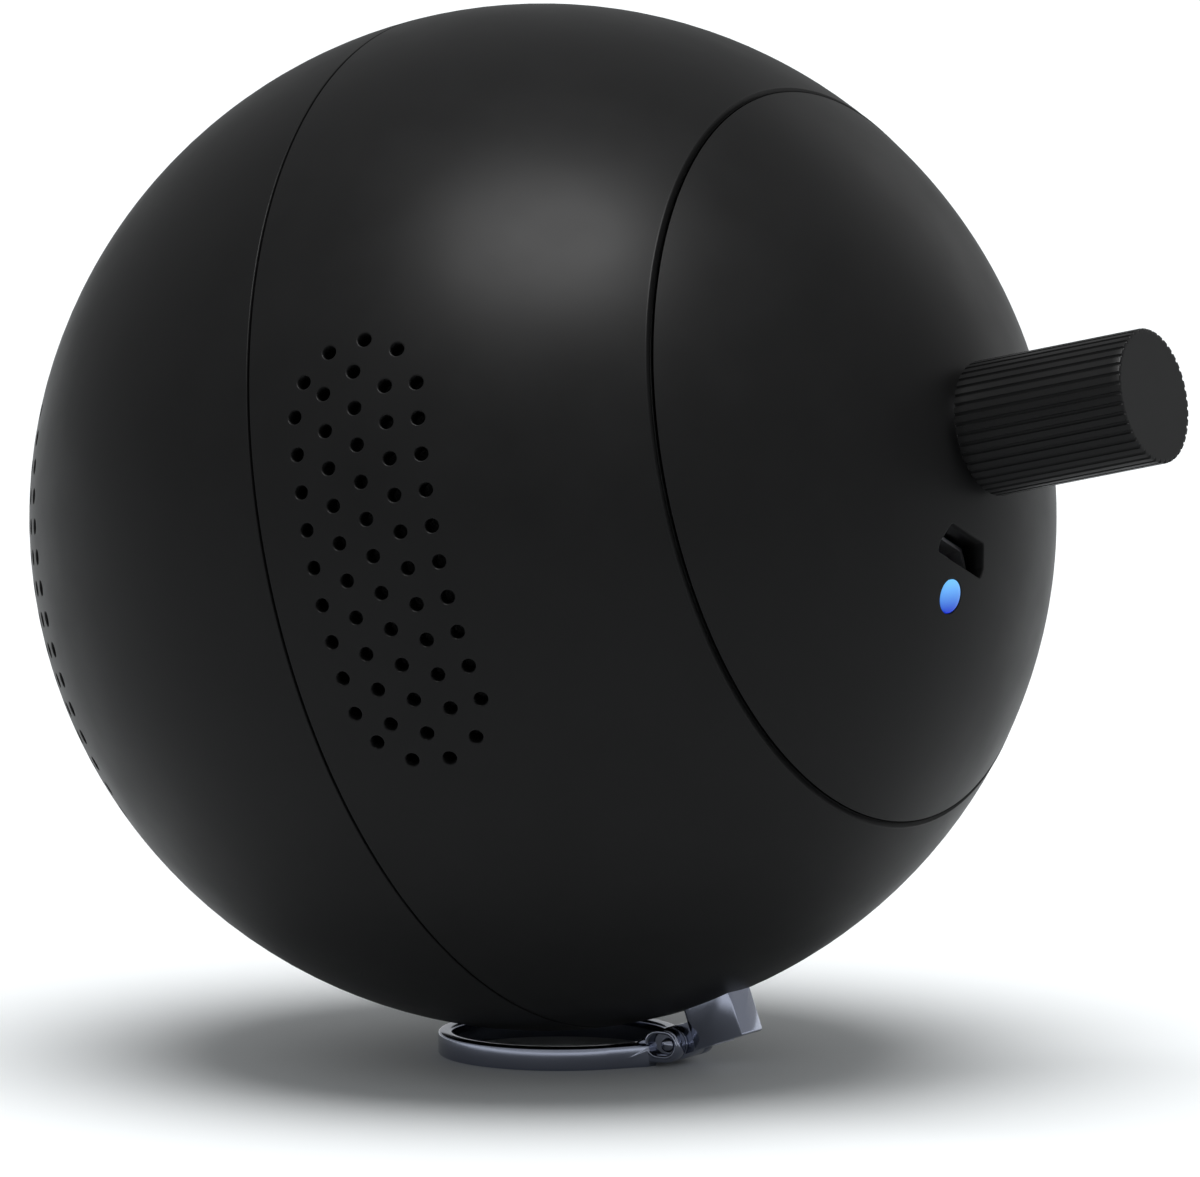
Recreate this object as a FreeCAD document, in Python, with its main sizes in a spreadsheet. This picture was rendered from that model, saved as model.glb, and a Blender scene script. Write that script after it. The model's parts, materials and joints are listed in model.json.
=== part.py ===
import FreeCAD, Part
import Sketcher
import math
import os

# A ball-shaped wireless speaker that stands on a small chrome ring, hinged under the ball.
#
# Row frame: millimetres, +Z up, floor at Z = 0, origin under the middle of the whole object.
# The ball's own axis runs from the grille (front, -Y) to the knob (rear, +Y, raised by axis_tilt).
#
# Speaker pieces are drawn in the ball frame: origin at the ball's centre, +Z along the ball's axis
# towards the knob, +X to the object's +X side and +Y downwards. Stand pieces are drawn in the
# stand frame: the row's directions, origin on the floor under the ball's centre.

V = FreeCAD.Vector
doc = FreeCAD.newDocument("speaker")

# ---------------------------------------------------------------- driving sizes
SIZES = {
    # ball and how it stands
    "ball_radius": 47.5, "shell_wall": 2.2, "axis_tilt": 13.3, "ground_gap": 2.5,
    # seam between front and mid shells: plane, gap between the faces, overlap lip
    "front_seam": -1.7, "seam_gap": 0.2, "seal_width": 0.6, "lip_length": 3.3, "rebate_deep": 1.1,
    "lip_fit": 0.1, "lip_step": 0.1,
    # seam between mid shell and rear cap
    "cap_seam": 32.9, "cap_lip_length": 3.5, "cap_lip_wall": 1.2, "cap_rim": 1.8,
    # front grille
    "grille_hole": 0.7, "grille_edge_angle": 41.3, "grille_pitch": 3.44, "grille_arc_pitch": 3.5,
    "cloth_wall": 0.4, "cloth_gap": 0.1,
    # side perforation
    "side_hole": 0.65, "side_angle": 78.9, "side_column_pitch": 3.6, "side_hole_pitch": 4.2,
    # driver seat in the front shell: the flange's room in the shell, its land and its plate
    "seat_play": 2.55, "seat_land": 4.5, "seat_thick": 2.5,
    # driver
    "flange_radius": 30.0, "flange_thick": 1.5, "flange_land": 6.4, "driver_screw_inset": 2.0,
    "gasket_thick": 0.5, "basket_wall": 1.2, "basket_depth": 11.0, "window_radius": 3.0,
    "windows": 8, "window_out": 0.1, "window_lift": 0.5,
    "top_plate_radius": 14.0, "top_plate_thick": 2.5, "magnet_radius": 12.5, "magnet_bore_gap": 1.0,
    "magnet_thick": 4.5, "yoke_radius": 12.8, "yoke_thick": 2.5, "pole_radius": 6.2,
    "coil_gap_radius": 7.6, "coil_inner": 6.5, "coil_outer": 7.1, "coil_out_front": 4.0,
    "coil_out_back": 1.0, "cone_wall": 0.6, "dust_cap_radius": 9.0,
    "dust_cap_height": 2.0, "dust_cap_seat": 0.3, "surround_wide": 4.5, "roll_radius": 1.4,
    "spider_wall": 0.4, "spider_wave": 0.8, "spider_margin": 1.0,
    "terminal_half": 4.0, "terminal_thick": 1.0, "terminal_high": 4.0,
    # side radiators, measured along their own axis from the ball's centre
    "radiator_deep": 11.0, "radiator_fit": 0.15, "radiator_base": 1.2, "collar_long": 21.5,
    "collar_wide": 9.0, "collar_wall": 2.0, "base_lip": 1.2, "plate_long": 16.1,
    "plate_wide": 3.6, "plate_thick": 1.6,
    "surround_wall": 0.5, "mesh_wall": 0.3,
    # chassis, battery and board
    "ledge_height": 22.0, "ledge_thick": 2.2, "ledge_land": 4.8, "chassis_gap": 2.0,
    "chassis_thick": 2.4, "lead_window": 4.5, "lead_window_place": 24.8,
    "battery_long": 50.0, "battery_wide": 34.0, "battery_thick": 10.0, "battery_pad": 0.2,
    "strap_wide": 10.0, "strap_wall": 1.2, "strap_foot": 5.5, "board_radius": 23.0,
    "board_thick": 1.6, "board_deep": 14.3, "post_radius": 2.5, "post_circle": 19.0, "pilot_deep": 6.0,
    # rotary encoder with its push shaft
    "encoder_side": 12.0, "encoder_high": 6.5, "encoder_wall": 0.9, "rotor_radius": 4.6,
    "rotor_high": 3.5, "bushing_radius": 3.5, "bushing_high": 7.3, "shaft_radius": 3.0,
    "shaft_fit": 0.05, "nut_radius": 4.5, "nut_high": 1.6, "spot_face": 0.4,
    # knob
    "knob_radius": 6.25, "knob_gap": 0.6, "knob_length": 17.6, "knob_chamfer": 0.35,
    "nut_gap": 0.4, "knob_recess_deep": 3.0, "shaft_grip": 11.0, "flutes": 42,
    "flute_radius": 0.2, "knob_travel": 0.5,
    # charging inlet and light, clocked round the axis from straight down towards +X
    "clock_angle": 26.5, "inlet_place": 11.5, "inlet_long": 7.4, "inlet_short": 5.5,
    "inlet_high": 3.0, "inlet_shoulder": 0.5, "socket_fit": 0.25, "socket_wall": 0.35, "socket_drop": 0.6,
    "socket_floor": 1.0, "tongue_thick": 0.65, "tongue_wide": 3.6, "tongue_inset": 1.0, "light_gap": 1.4,
    "light_radius": 1.5, "light_fit": 0.04, "led_side": 2.6, "led_high": 1.2,
    "led_gap": 0.2,
    # wires and screws
    "wire_radius": 0.6, "wire_spacing": 1.5, "thread_radius": 1.0, "head_radius": 1.9,
    "head_high": 1.3, "screw_depth": 4.0, "screw_clearance": 0.2,
    # ring stand and its hinge
    "ring_radius": 11.25, "ring_wall": 1.3, "ring_high": 2.2, "ring_place": 1.76,
    "hinge_gap": 0.24, "pin_height": 2.1, "pin_radius": 0.7, "pin_fit": 0.05,
    "ear_radius": 1.6, "ear_thick": 1.3, "ear_gap": 0.15, "ear_recess_deep": 0.35,
    "knuckle_half": 2.0, "block_half": 2.0, "block_offset": 2.45, "block_long": 5.0,
    "block_deep": 8.0, "block_bottom": 1.7, "block_slope": 19.5, "thread_deep": 2.0,
    # a small gap between pieces that only lie close, and how far a cutter starts outside its piece
    "close_gap": 0.1, "cut_past": 1.0,
}

sheet = doc.addObject("Spreadsheet::Sheet", "Sizes")
for row, (alias, number) in enumerate(SIZES.items(), start=1):
    sheet.set("A%d" % row, alias.replace("_", " "))
    sheet.set("B%d" % row, str(number))
    sheet.setAlias("B%d" % row, alias)
doc.recompute()


class Size:
    """A number together with the spreadsheet expression that gives it."""

    def __init__(self, value, text):
        self.value = value
        self.text = text

    def __add__(self, other):
        return combine(self, other, "+", lambda a, b: a + b)

    def __sub__(self, other):
        return combine(self, other, "-", lambda a, b: a - b)

    def __rsub__(self, other):
        return combine(other, self, "-", lambda a, b: a - b)

    def __mul__(self, other):
        return combine(self, other, "*", lambda a, b: a * b)

    def __truediv__(self, other):
        return combine(self, other, "/", lambda a, b: a / b)

    def __neg__(self):
        return combine(0, self, "-", lambda a, b: a - b)

    __radd__ = __add__
    __rmul__ = __mul__


def as_size(number):
    return number if isinstance(number, Size) else Size(float(number), repr(number))


def combine(left, right, sign, work):
    left, right = as_size(left), as_size(right)
    return Size(work(left.value, right.value), "(%s %s %s)" % (left.text, sign, right.text))


def of_function(name, argument, work):
    return Size(work(argument.value), "%s(%s)" % (name, argument.text))


def root(argument):
    return of_function("sqrt", argument, math.sqrt)


def sine(argument):
    return of_function("sin", argument, lambda a: math.sin(math.radians(a)))


def cosine(argument):
    return of_function("cos", argument, lambda a: math.cos(math.radians(a)))


def across(radius, height):
    """Half width of a ball of that radius at that height along its axis."""
    return root(radius * radius - height * height)


class Dimensions:
    """The sheet's cells by name, each as a Size."""

    def __getattr__(self, name):
        return Size(float(sheet.get(name)), "Sizes." + name)


d = Dimensions()

# ---------------------------------------------------------------- helpers
NODES = {}


def bind(thing, path, length):
    thing.setExpression(path, as_size(length).text)


def origin_plane(body, role):
    return [f for f in body.Origin.OriginFeatures if f.Role == role][0]


def new_body(label):
    body = doc.addObject("PartDesign::Body", label)
    body.Label = label
    return body


def new_sketch(body, label, role="XY_Plane", height=None):
    sketch = body.newObject("Sketcher::SketchObject", label)
    sketch.AttachmentSupport = [(origin_plane(body, role), "")]
    sketch.MapMode = "FlatFace"
    if height is not None:
        bind(sketch, "AttachmentOffset.Base.z", height)
    return sketch


def pin_point(sketch, edge, position, across_size, up_size):
    """Fix one point of an edge at its two distances from the sketch's origin; None leaves one free."""
    for kind, length, axis in (("DistanceX", across_size, -2), ("DistanceY", up_size, -1)):
        if length is None:
            continue
        length = as_size(length)
        if length.value == 0.0:
            sketch.addConstraint(Sketcher.Constraint("PointOnObject", edge, position, axis))
        else:
            index = sketch.addConstraint(
                Sketcher.Constraint(kind, -1, 1, edge, position, length.value))
            bind(sketch, "Constraints[%d]" % index, length)


def outline(sketch, corners):
    """Closed outline. A corner is (x, y) or (x, y, centre): with a centre, the edge that arrives
    there is an arc about (0, centre), and the corner's x follows from that arc."""
    ends = []
    count = len(corners)
    points = [(as_size(c[0]).value, as_size(c[1]).value) for c in corners]
    for i, corner in enumerate(corners):
        start, end = points[i - 1], points[i]
        if len(corner) == 2:
            sketch.addGeometry(Part.LineSegment(V(*start, 0), V(*end, 0)), False)
            ends.append((1, 2))
            continue
        centre = as_size(corner[2]).value
        first = math.atan2(start[1] - centre, start[0])
        last = math.atan2(end[1] - centre, end[0])
        turn = (last - first + math.pi) % (2 * math.pi) - math.pi
        circle = Part.Circle(V(0, centre, 0), V(0, 0, 1), math.hypot(start[0], start[1] - centre))
        span = (first, first + turn) if turn > 0 else (first + turn, first)
        sketch.addGeometry(Part.ArcOfCircle(circle, *span), False)
        ends.append((1, 2) if turn > 0 else (2, 1))
    for i in range(count):
        after = (i + 1) % count
        sketch.addConstraint(
            Sketcher.Constraint("Coincident", i, ends[i][1], after, ends[after][0]))
    for i, corner in enumerate(corners):
        if len(corner) == 2:
            pin_point(sketch, i, ends[i][1], corner[0], corner[1])
        elif points[i][0] == 0.0:
            pin_point(sketch, i, ends[i][1], corner[0], None)
        else:
            pin_point(sketch, i, ends[i][1], None, corner[1])
        if len(corner) == 3:
            pin_point(sketch, i, 3, 0, corner[2])


def circles(sketch, places, radius):
    for x, y in places:
        x, y = as_size(x), as_size(y)
        edge = sketch.addGeometry(Part.Circle(V(x.value, y.value, 0), V(0, 0, 1), radius.value), False)
        pin_point(sketch, edge, 3, x, y)
        index = sketch.addConstraint(Sketcher.Constraint("Radius", edge, radius.value))
        bind(sketch, "Constraints[%d]" % index, radius)


def racetrack(sketch, half_long, half_wide):
    """A slot about the sketch's origin, its long side along X, with round ends."""
    straight, radius = half_long - half_wide, half_wide
    s, r = straight.value, radius.value
    sketch.addGeometry(Part.LineSegment(V(-s, -r, 0), V(s, -r, 0)), False)
    right = Part.Circle(V(s, 0, 0), V(0, 0, 1), r)
    sketch.addGeometry(Part.ArcOfCircle(right, -math.pi / 2, math.pi / 2), False)
    sketch.addGeometry(Part.LineSegment(V(s, r, 0), V(-s, r, 0)), False)
    left = Part.Circle(V(-s, 0, 0), V(0, 0, 1), r)
    sketch.addGeometry(Part.ArcOfCircle(left, math.pi / 2, 3 * math.pi / 2), False)
    for edge in range(4):
        sketch.addConstraint(Sketcher.Constraint("Coincident", edge, 2, (edge + 1) % 4, 1))
    pin_point(sketch, 0, 1, -straight, -radius)
    pin_point(sketch, 0, 2, straight, -radius)
    pin_point(sketch, 2, 1, straight, radius)
    pin_point(sketch, 2, 2, -straight, radius)
    pin_point(sketch, 1, 3, straight, None)
    pin_point(sketch, 3, 3, -straight, None)


def turned(label, corners):
    """A body turned about its own Z axis; the outline's x is the radius, its y the height."""
    body = new_body(label)
    sketch = new_sketch(body, label + "_outline", "XZ_Plane")
    outline(sketch, corners)
    solid = body.newObject("PartDesign::Revolution", label + "_turn")
    solid.Profile = sketch
    solid.ReferenceAxis = (sketch, ["V_Axis"])
    solid.Angle = 360
    doc.recompute()
    return body


def tube(label, inner, outer, low, high):
    return turned(label, [(inner, low), (outer, low), (outer, high), (inner, high)])


def pad(body, sketch, length):
    feature = body.newObject("PartDesign::Pad", sketch.Name + "_pad")
    feature.Profile = sketch
    bind(feature, "Length", length)
    body.Tip = feature
    doc.recompute()
    return feature


def pocket(body, sketch, length=None, along_normal=True):
    """Cut a sketch out of its body, along the sketch's normal; with no length, through everything."""
    before = body.Shape.Volume
    feature = body.newObject("PartDesign::Pocket", sketch.Name + "_cut")
    feature.Profile = sketch
    feature.Reversed = along_normal
    if length is None:
        feature.Type = "ThroughAll"
    else:
        bind(feature, "Length", length)
    body.Tip = feature
    doc.recompute()
    if body.Shape.Volume >= before - 1e-6:
        raise RuntimeError(sketch.Name + " cuts nothing")
    return feature


def polar(body, feature, sketch, count):
    pattern = body.newObject("PartDesign::PolarPattern", feature.Name + "_ring")
    pattern.Originals = [feature]
    pattern.Axis = (sketch, ["N_Axis"])
    pattern.Angle = 360
    bind(pattern, "Occurrences", count)
    body.Tip = pattern
    doc.recompute()
    return pattern


def rectangle(left, right, low, high):
    return [(left, low), (right, low), (right, high), (left, high)]


def block(label, left, right, low, high, bottom, top):
    """A rectangular body between those limits along X, Y and Z."""
    body = new_body(label)
    add_block(body, label, left, right, low, high, bottom, top)
    return body


def add_block(body, label, left, right, low, high, bottom, top):
    sketch = new_sketch(body, label + "_base", "XY_Plane", bottom)
    outline(sketch, rectangle(left, right, low, high))
    return pad(body, sketch, top - bottom)


def pegs(body, label, places, radius, bottom, top):
    """Round pegs along Z, all in one feature."""
    sketch = new_sketch(body, label, "XY_Plane", bottom)
    circles(sketch, places, radius)
    return pad(body, sketch, top - bottom)


def bores(body, label, places, radius, bottom, length=None):
    """Round holes along +Z that start at a height."""
    sketch = new_sketch(body, label, "XY_Plane", bottom)
    circles(sketch, places, radius)
    return pocket(body, sketch, length)


def screws(label, places, seat, into, reach=None):
    """Screws along Z: heads on the seat plane, threads reaching 'reach' into the part, or
    screw_depth. 'into' is +1 when the threads point to +Z, -1 when they point to -Z."""
    depth = d.screw_depth if reach is None else reach
    body = new_body(label)
    body.AllowCompound = True
    if into > 0:
        pegs(body, label + "_heads", places, d.head_radius, seat - d.head_high, seat)
        pegs(body, label + "_threads", places, d.thread_radius, seat - d.head_high / 2, seat + depth)
    else:
        pegs(body, label + "_heads", places, d.head_radius, seat, seat + d.head_high)
        pegs(body, label + "_threads", places, d.thread_radius, seat - depth, seat + d.head_high / 2)
    return body


def around(circle_radius, count, start=45.0):
    """Places evenly round a circle, as sizes."""
    places = []
    for k in range(count):
        angle = as_size(start + 360.0 * k / count)
        places.append((circle_radius * cosine(angle), circle_radius * sine(angle)))
    return places


def primitive(kind, label, **lengths):
    thing = doc.addObject("Part::" + kind, label)
    for name, length in lengths.items():
        bind(thing, name, length)
    return thing


def boolean(kind, label, base, tool):
    thing = doc.addObject("Part::" + kind, label)
    thing.Base = base
    thing.Tool = tool
    doc.recompute()
    return thing


# ---------------------------------------------------------------- places
ball_height = d.ball_radius + d.ground_gap
knob_base = d.ball_radius + d.knob_gap
knob_end = knob_base + d.knob_length
rear_reach = knob_end * cosine(d.axis_tilt) + (d.knob_radius - d.knob_chamfer) * sine(d.axis_tilt)
ball_place = (d.ball_radius - rear_reach) / 2
inner_radius = d.ball_radius - d.shell_wall
hinge_place = d.ring_place + d.ring_radius + d.hinge_gap + d.ear_radius
block_start = hinge_place + d.block_offset
block_end = block_start + d.block_long


def ball_frame():
    turn = FreeCAD.Rotation(V(1, 0, 0), d.axis_tilt.value - 90)
    return FreeCAD.Placement(V(0, ball_place.value, ball_height.value), turn)


def place_in_ball(thing, node, turn=None):
    """Put a piece drawn in the ball frame in its place; 'turn' first turns it within that frame."""
    thing.Label = node
    if turn is None:
        thing.Placement = ball_frame()
        bind(thing, "Placement.Base.y", ball_place)
        bind(thing, "Placement.Base.z", ball_height)
        bind(thing, "Placement.Rotation.Angle", d.axis_tilt - 90)
    else:
        thing.Placement = ball_frame().multiply(FreeCAD.Placement(V(0, 0, 0), turn))
    NODES[node] = thing


def place_in_stand(thing, node, along=None):
    """Put a piece drawn in the stand frame in its place, moved 'along' Y."""
    thing.Label = node
    bind(thing, "Placement.Base.y", ball_place if along is None else ball_place + along)
    NODES[node] = thing


def direction(polar_angle, round_angle):
    """Unit vector in the ball frame, from the angle off +Z and the angle round it from +X."""
    polar_angle, round_angle = math.radians(polar_angle), math.radians(round_angle)
    flat = math.sin(polar_angle)
    return V(flat * math.cos(round_angle), flat * math.sin(round_angle), math.cos(polar_angle))


def drills(label, directions, radius):
    """One tool of round drills that point at the ball's centre and pass its wall."""
    low = d.ball_radius.value - 2 * d.shell_wall.value
    reach = 3 * d.shell_wall.value
    shapes = [Part.makeCylinder(radius.value, reach, way * low, way) for way in directions]
    tool = doc.addObject("Part::Feature", label)
    tool.Shape = Part.makeCompound(shapes)
    return tool


# ---------------------------------------------------------------- front shell and grille
seat_back = -across(inner_radius, d.flange_radius + d.seat_play)
seat_front = seat_back - d.seat_thick
seat_bore = d.flange_radius - d.seat_land
driver_screw_circle = d.flange_radius - d.driver_screw_inset


def make_front_shell():
    low_face = d.front_seam - d.seam_gap / 2
    lip_outer = d.ball_radius - d.rebate_deep - d.lip_fit
    lip_inner = inner_radius - d.lip_step
    lip_top = low_face + d.lip_length
    blank = turned("front_shell_blank", [
        (0, -d.ball_radius),
        (across(d.ball_radius, low_face), low_face, 0),
        (lip_outer, low_face),
        (lip_outer, lip_top),
        (lip_inner, lip_top),
        (lip_inner, -across(inner_radius, lip_inner)),
        (across(inner_radius, seat_back), seat_back, 0),
        (seat_bore, seat_back),
        (seat_bore, seat_front),
        (across(inner_radius, seat_front), seat_front),
        (0, -inner_radius, 0)])
    bores(blank, "driver_pilots", around(driver_screw_circle, 4), d.thread_radius,
          seat_front, d.seat_thick)
    ways = [direction(180, 0)]
    rings = round(d.grille_edge_angle.value / d.grille_pitch.value)
    for ring in range(1, rings + 1):
        angle = d.grille_edge_angle.value * ring / rings
        length = 2 * math.pi * d.ball_radius.value * math.sin(math.radians(angle))
        count = round(length / (d.grille_arc_pitch.value * math.pi / 180 * d.ball_radius.value))
        ways += [direction(180 - angle, 360.0 * k / count) for k in range(count)]
    shell = boolean("Cut", "front_shell", blank, drills("grille_drills", ways, d.grille_hole))
    place_in_ball(shell, "front_shell")


def make_cloth():
    outer = inner_radius - d.cloth_gap
    inner = outer - d.cloth_wall
    edge = seat_front - d.cloth_gap
    cloth = turned("grille_cloth", [
        (0, -outer), (across(outer, edge), edge, 0), (across(inner, edge), edge), (0, -inner, 0)])
    place_in_ball(cloth, "grille_cloth")


# ---------------------------------------------------------------- driver
flange_front = seat_back + d.gasket_thick
flange_back = flange_front + d.flange_thick
motor_front = flange_front + d.basket_depth
magnet_front = motor_front + d.top_plate_thick
yoke_front = magnet_front + d.magnet_thick
yoke_back = yoke_front + d.yoke_thick
coil_front = motor_front - d.coil_out_front
coil_back = magnet_front + d.coil_out_back
flange_bore = d.flange_radius - d.flange_land
cone_radius = seat_bore - d.surround_wide


def make_driver_frame():
    wall = d.basket_wall
    foot = d.top_plate_radius + wall
    frame = turned("driver_frame", [
        (flange_bore, flange_front),
        (d.flange_radius, flange_front),
        (d.flange_radius, flange_back),
        (flange_bore + wall, flange_back),
        (foot + wall, motor_front - wall),
        (foot, motor_front + wall),
        (d.top_plate_radius, motor_front + wall),
        (d.top_plate_radius, motor_front),
        (d.top_plate_radius - 2 * wall, motor_front),
        (d.top_plate_radius - 2 * wall, motor_front - wall),
        (foot, motor_front - wall),
        (flange_bore, flange_back - wall / 2)])
    bores(frame, "flange_holes", around(driver_screw_circle, 4),
          d.thread_radius + d.screw_clearance, flange_front - d.cut_past)
    window = new_sketch(frame, "basket_window", "XY_Plane", flange_back + d.window_lift)
    middle = (flange_bore + foot) / 2 + d.window_out
    circles(window, around(middle, 1, 180.0 / d.windows.value), d.window_radius)
    first = pocket(frame, window)
    polar(frame, first, window, d.windows)
    place_in_ball(frame, "driver_frame")


def make_driver():
    gasket = tube("driver_gasket", seat_bore, d.flange_radius, seat_back, flange_front)
    bores(gasket, "gasket_holes", around(driver_screw_circle, 4),
          d.thread_radius + d.screw_clearance, seat_back - d.cut_past)
    place_in_ball(gasket, "driver_gasket")
    make_driver_frame()
    places = around(driver_screw_circle, 4)
    place_in_ball(screws("driver_screws", places, flange_back, -1), "driver_screws")

    top_plate = tube("top_plate", d.coil_gap_radius, d.top_plate_radius, motor_front, magnet_front)
    place_in_ball(top_plate, "top_plate")
    magnet = tube("magnet_ring", d.coil_gap_radius + d.magnet_bore_gap, d.magnet_radius,
                  magnet_front, yoke_front)
    place_in_ball(magnet, "magnet_ring")
    yoke = turned("pole_yoke", [
        (0, motor_front), (d.pole_radius, motor_front), (d.pole_radius, yoke_front),
        (d.yoke_radius, yoke_front), (d.yoke_radius, yoke_back), (0, yoke_back)])
    place_in_ball(yoke, "pole_yoke")

    coil = tube("voice_coil", d.coil_inner, d.coil_outer, coil_front, coil_back)
    place_in_ball(coil, "voice_coil")
    cone_front = flange_front - d.spider_wall
    cone = turned("driver_cone", [
        (d.coil_outer, coil_front), (d.coil_outer, coil_front + 2 * d.cone_wall),
        (cone_radius, cone_front + d.cone_wall), (cone_radius, cone_front)])
    place_in_ball(cone, "driver_cone")
    cap_edge = coil_front - d.cone_wall / 2
    cap_front = cap_edge - d.dust_cap_height
    rise = d.dust_cap_radius * d.dust_cap_radius - d.dust_cap_height * d.dust_cap_height
    centre = cap_front + rise / (2 * d.dust_cap_height) + d.dust_cap_height
    rim = d.coil_outer - d.dust_cap_seat
    dust_cap = turned("dust_cap", [
        (0, cap_front), (rim, cap_edge - 3 * d.dust_cap_seat, centre), (rim, cap_edge - d.dust_cap_seat),
        (0, cap_front + d.cone_wall, centre + d.cone_wall)])
    place_in_ball(dust_cap, "dust_cap")

    roll_middle = cone_radius + d.roll_radius
    foot_outer = seat_bore - d.close_gap
    foot = flange_front - d.spider_wall
    thin = d.spider_wall
    crown = foot - d.roll_radius + thin * root(as_size(2))
    surround = turned("driver_surround", [
        (cone_radius, foot), (roll_middle, foot - d.roll_radius),
        (roll_middle + d.roll_radius, foot), (foot_outer, foot), (foot_outer, flange_front),
        (roll_middle + d.roll_radius - thin / 2, flange_front),
        (roll_middle, crown), (cone_radius + thin / 2, flange_front),
        (cone_radius, flange_front)])
    place_in_ball(surround, "driver_surround")
    step = (d.top_plate_radius - d.coil_outer - d.spider_margin) / 4
    high = motor_front - d.basket_wall - thin
    low = high - d.spider_wave
    spider = turned("driver_spider", [
        (d.coil_outer, low), (d.coil_outer + step, high), (d.coil_outer + 2 * step, low),
        (d.coil_outer + 3 * step, high), (d.coil_outer + 4 * step, high),
        (d.coil_outer + 4 * step, high + thin), (d.coil_outer + 3 * step, high + thin),
        (d.coil_outer + 2 * step, low + thin), (d.coil_outer + step, high + thin),
        (d.coil_outer, low + thin)])
    place_in_ball(spider, "driver_spider")
    edge = d.terminal_thick - d.flange_radius
    terminals = block("driver_terminals", -d.terminal_half, d.terminal_half, edge, edge + d.terminal_thick,
                      flange_back, flange_back + d.terminal_high)
    place_in_ball(terminals, "driver_terminals")


# ---------------------------------------------------------------- mid shell
# Holes in each column of a side pad, and the holes round its ends as (columns from the middle
# column, rows from the middle row).
COLUMN_COUNTS = (10, 10, 11, 10, 9)
END_HOLES = ((-1.4, 5.5), (-0.35, 5.86), (0.8, 5.62), (1.65, 4.9))


def side_directions():
    """Staggered holes of the two side pads: columns along the ball's axis, rows round it."""
    column = d.side_column_pitch.value
    hole = d.side_hole_pitch.value
    pattern = []
    for k, count in enumerate(COLUMN_COUNTS):
        angle = d.side_angle.value + (k - len(COLUMN_COUNTS) // 2) * column
        for j in range(count):
            pattern.append((angle, (j - (count - 1) / 2) * hole))
    for offset, place in END_HOLES:
        for side in (-1, 1):
            pattern.append((d.side_angle.value + offset * column, side * place * hole))
    return [direction(a, r + turn) for turn in (0, 180) for a, r in pattern]


def bracket_screw_angle():
    """Degrees from straight down to the line from the ball's centre through the block's middle."""
    middle = (block_start.value + block_end.value) / 2
    return math.degrees(math.asin(middle / d.ball_radius.value))


def bracket_way():
    return direction(90 - (bracket_screw_angle() - d.axis_tilt.value), 90)


ledge_outer = across(inner_radius, d.ledge_height)
chassis_radius = ledge_outer - d.chassis_gap
ledge_bore = chassis_radius - d.ledge_land
chassis_screw_circle = (ledge_bore + chassis_radius) / 2


def make_mid_shell():
    front_face = d.front_seam + d.seam_gap / 2
    rear_face = d.cap_seam - d.seam_gap / 2
    rebate = d.ball_radius - d.rebate_deep
    rebate_top = front_face + d.lip_length + d.lip_fit
    rim_inner = across(d.ball_radius, rear_face) - d.cap_rim
    ledge_top = d.ledge_height + d.ledge_thick
    rim_low = rear_face - d.cap_lip_length
    blank = turned("mid_shell_blank", [
        (rebate, front_face),
        (across(d.ball_radius, front_face), front_face),
        (across(d.ball_radius, rear_face), rear_face, 0),
        (rim_inner, rear_face),
        (rim_inner, rim_low),
        (across(inner_radius, rim_low), rim_low),
        (across(inner_radius, ledge_top), ledge_top, 0),
        (ledge_bore, ledge_top),
        (ledge_bore, d.ledge_height),
        (ledge_outer, d.ledge_height),
        (across(inner_radius, rebate_top), rebate_top, 0),
        (rebate, rebate_top)])
    bores(blank, "chassis_pilots", around(chassis_screw_circle, 4), d.thread_radius,
          d.ledge_height - d.cut_past, d.ledge_thick + 2 * d.cut_past)
    sides = boolean("Cut", "mid_shell_drilled", blank,
                    drills("side_drills", side_directions(), d.side_hole))
    bracket_hole = drills("bracket_drill", [bracket_way()], d.thread_radius + d.screw_clearance)
    shell = boolean("Cut", "mid_shell", sides, bracket_hole)
    place_in_ball(shell, "mid_shell")

    low = d.front_seam - d.seam_gap / 2
    seal_outer = d.ball_radius - d.seal_width
    seal = tube("front_seal", rebate, seal_outer, low, low + d.seam_gap)
    place_in_ball(seal, "front_seal")
    rim_outer = across(d.ball_radius, rear_face) - d.seal_width
    seal = tube("cap_seal", rim_inner, rim_outer, rear_face, rear_face + d.seam_gap)
    place_in_ball(seal, "cap_seal")


# ---------------------------------------------------------------- side radiators
def radiator_turn(side):
    """Turns +Z to the radiator's own axis and X to its long side."""
    lean = math.radians(90 - d.side_angle.value)
    way = V(side * math.cos(lean), 0, math.sin(lean))
    long_side = V(0, side, 0)
    return FreeCAD.Rotation(long_side, way.cross(long_side), way, "ZXY")


def track_prism(label, long_size, wide_size, low, high):
    body = new_body(label)
    sketch = new_sketch(body, label + "_track", "XY_Plane", low)
    racetrack(sketch, long_size, wide_size)
    pad(body, sketch, high - low)
    return body


def track_hole(body, label, long_size, wide_size, low, length=None):
    sketch = new_sketch(body, label, "XY_Plane", low)
    racetrack(sketch, long_size, wide_size)
    return pocket(body, sketch, length)


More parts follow.
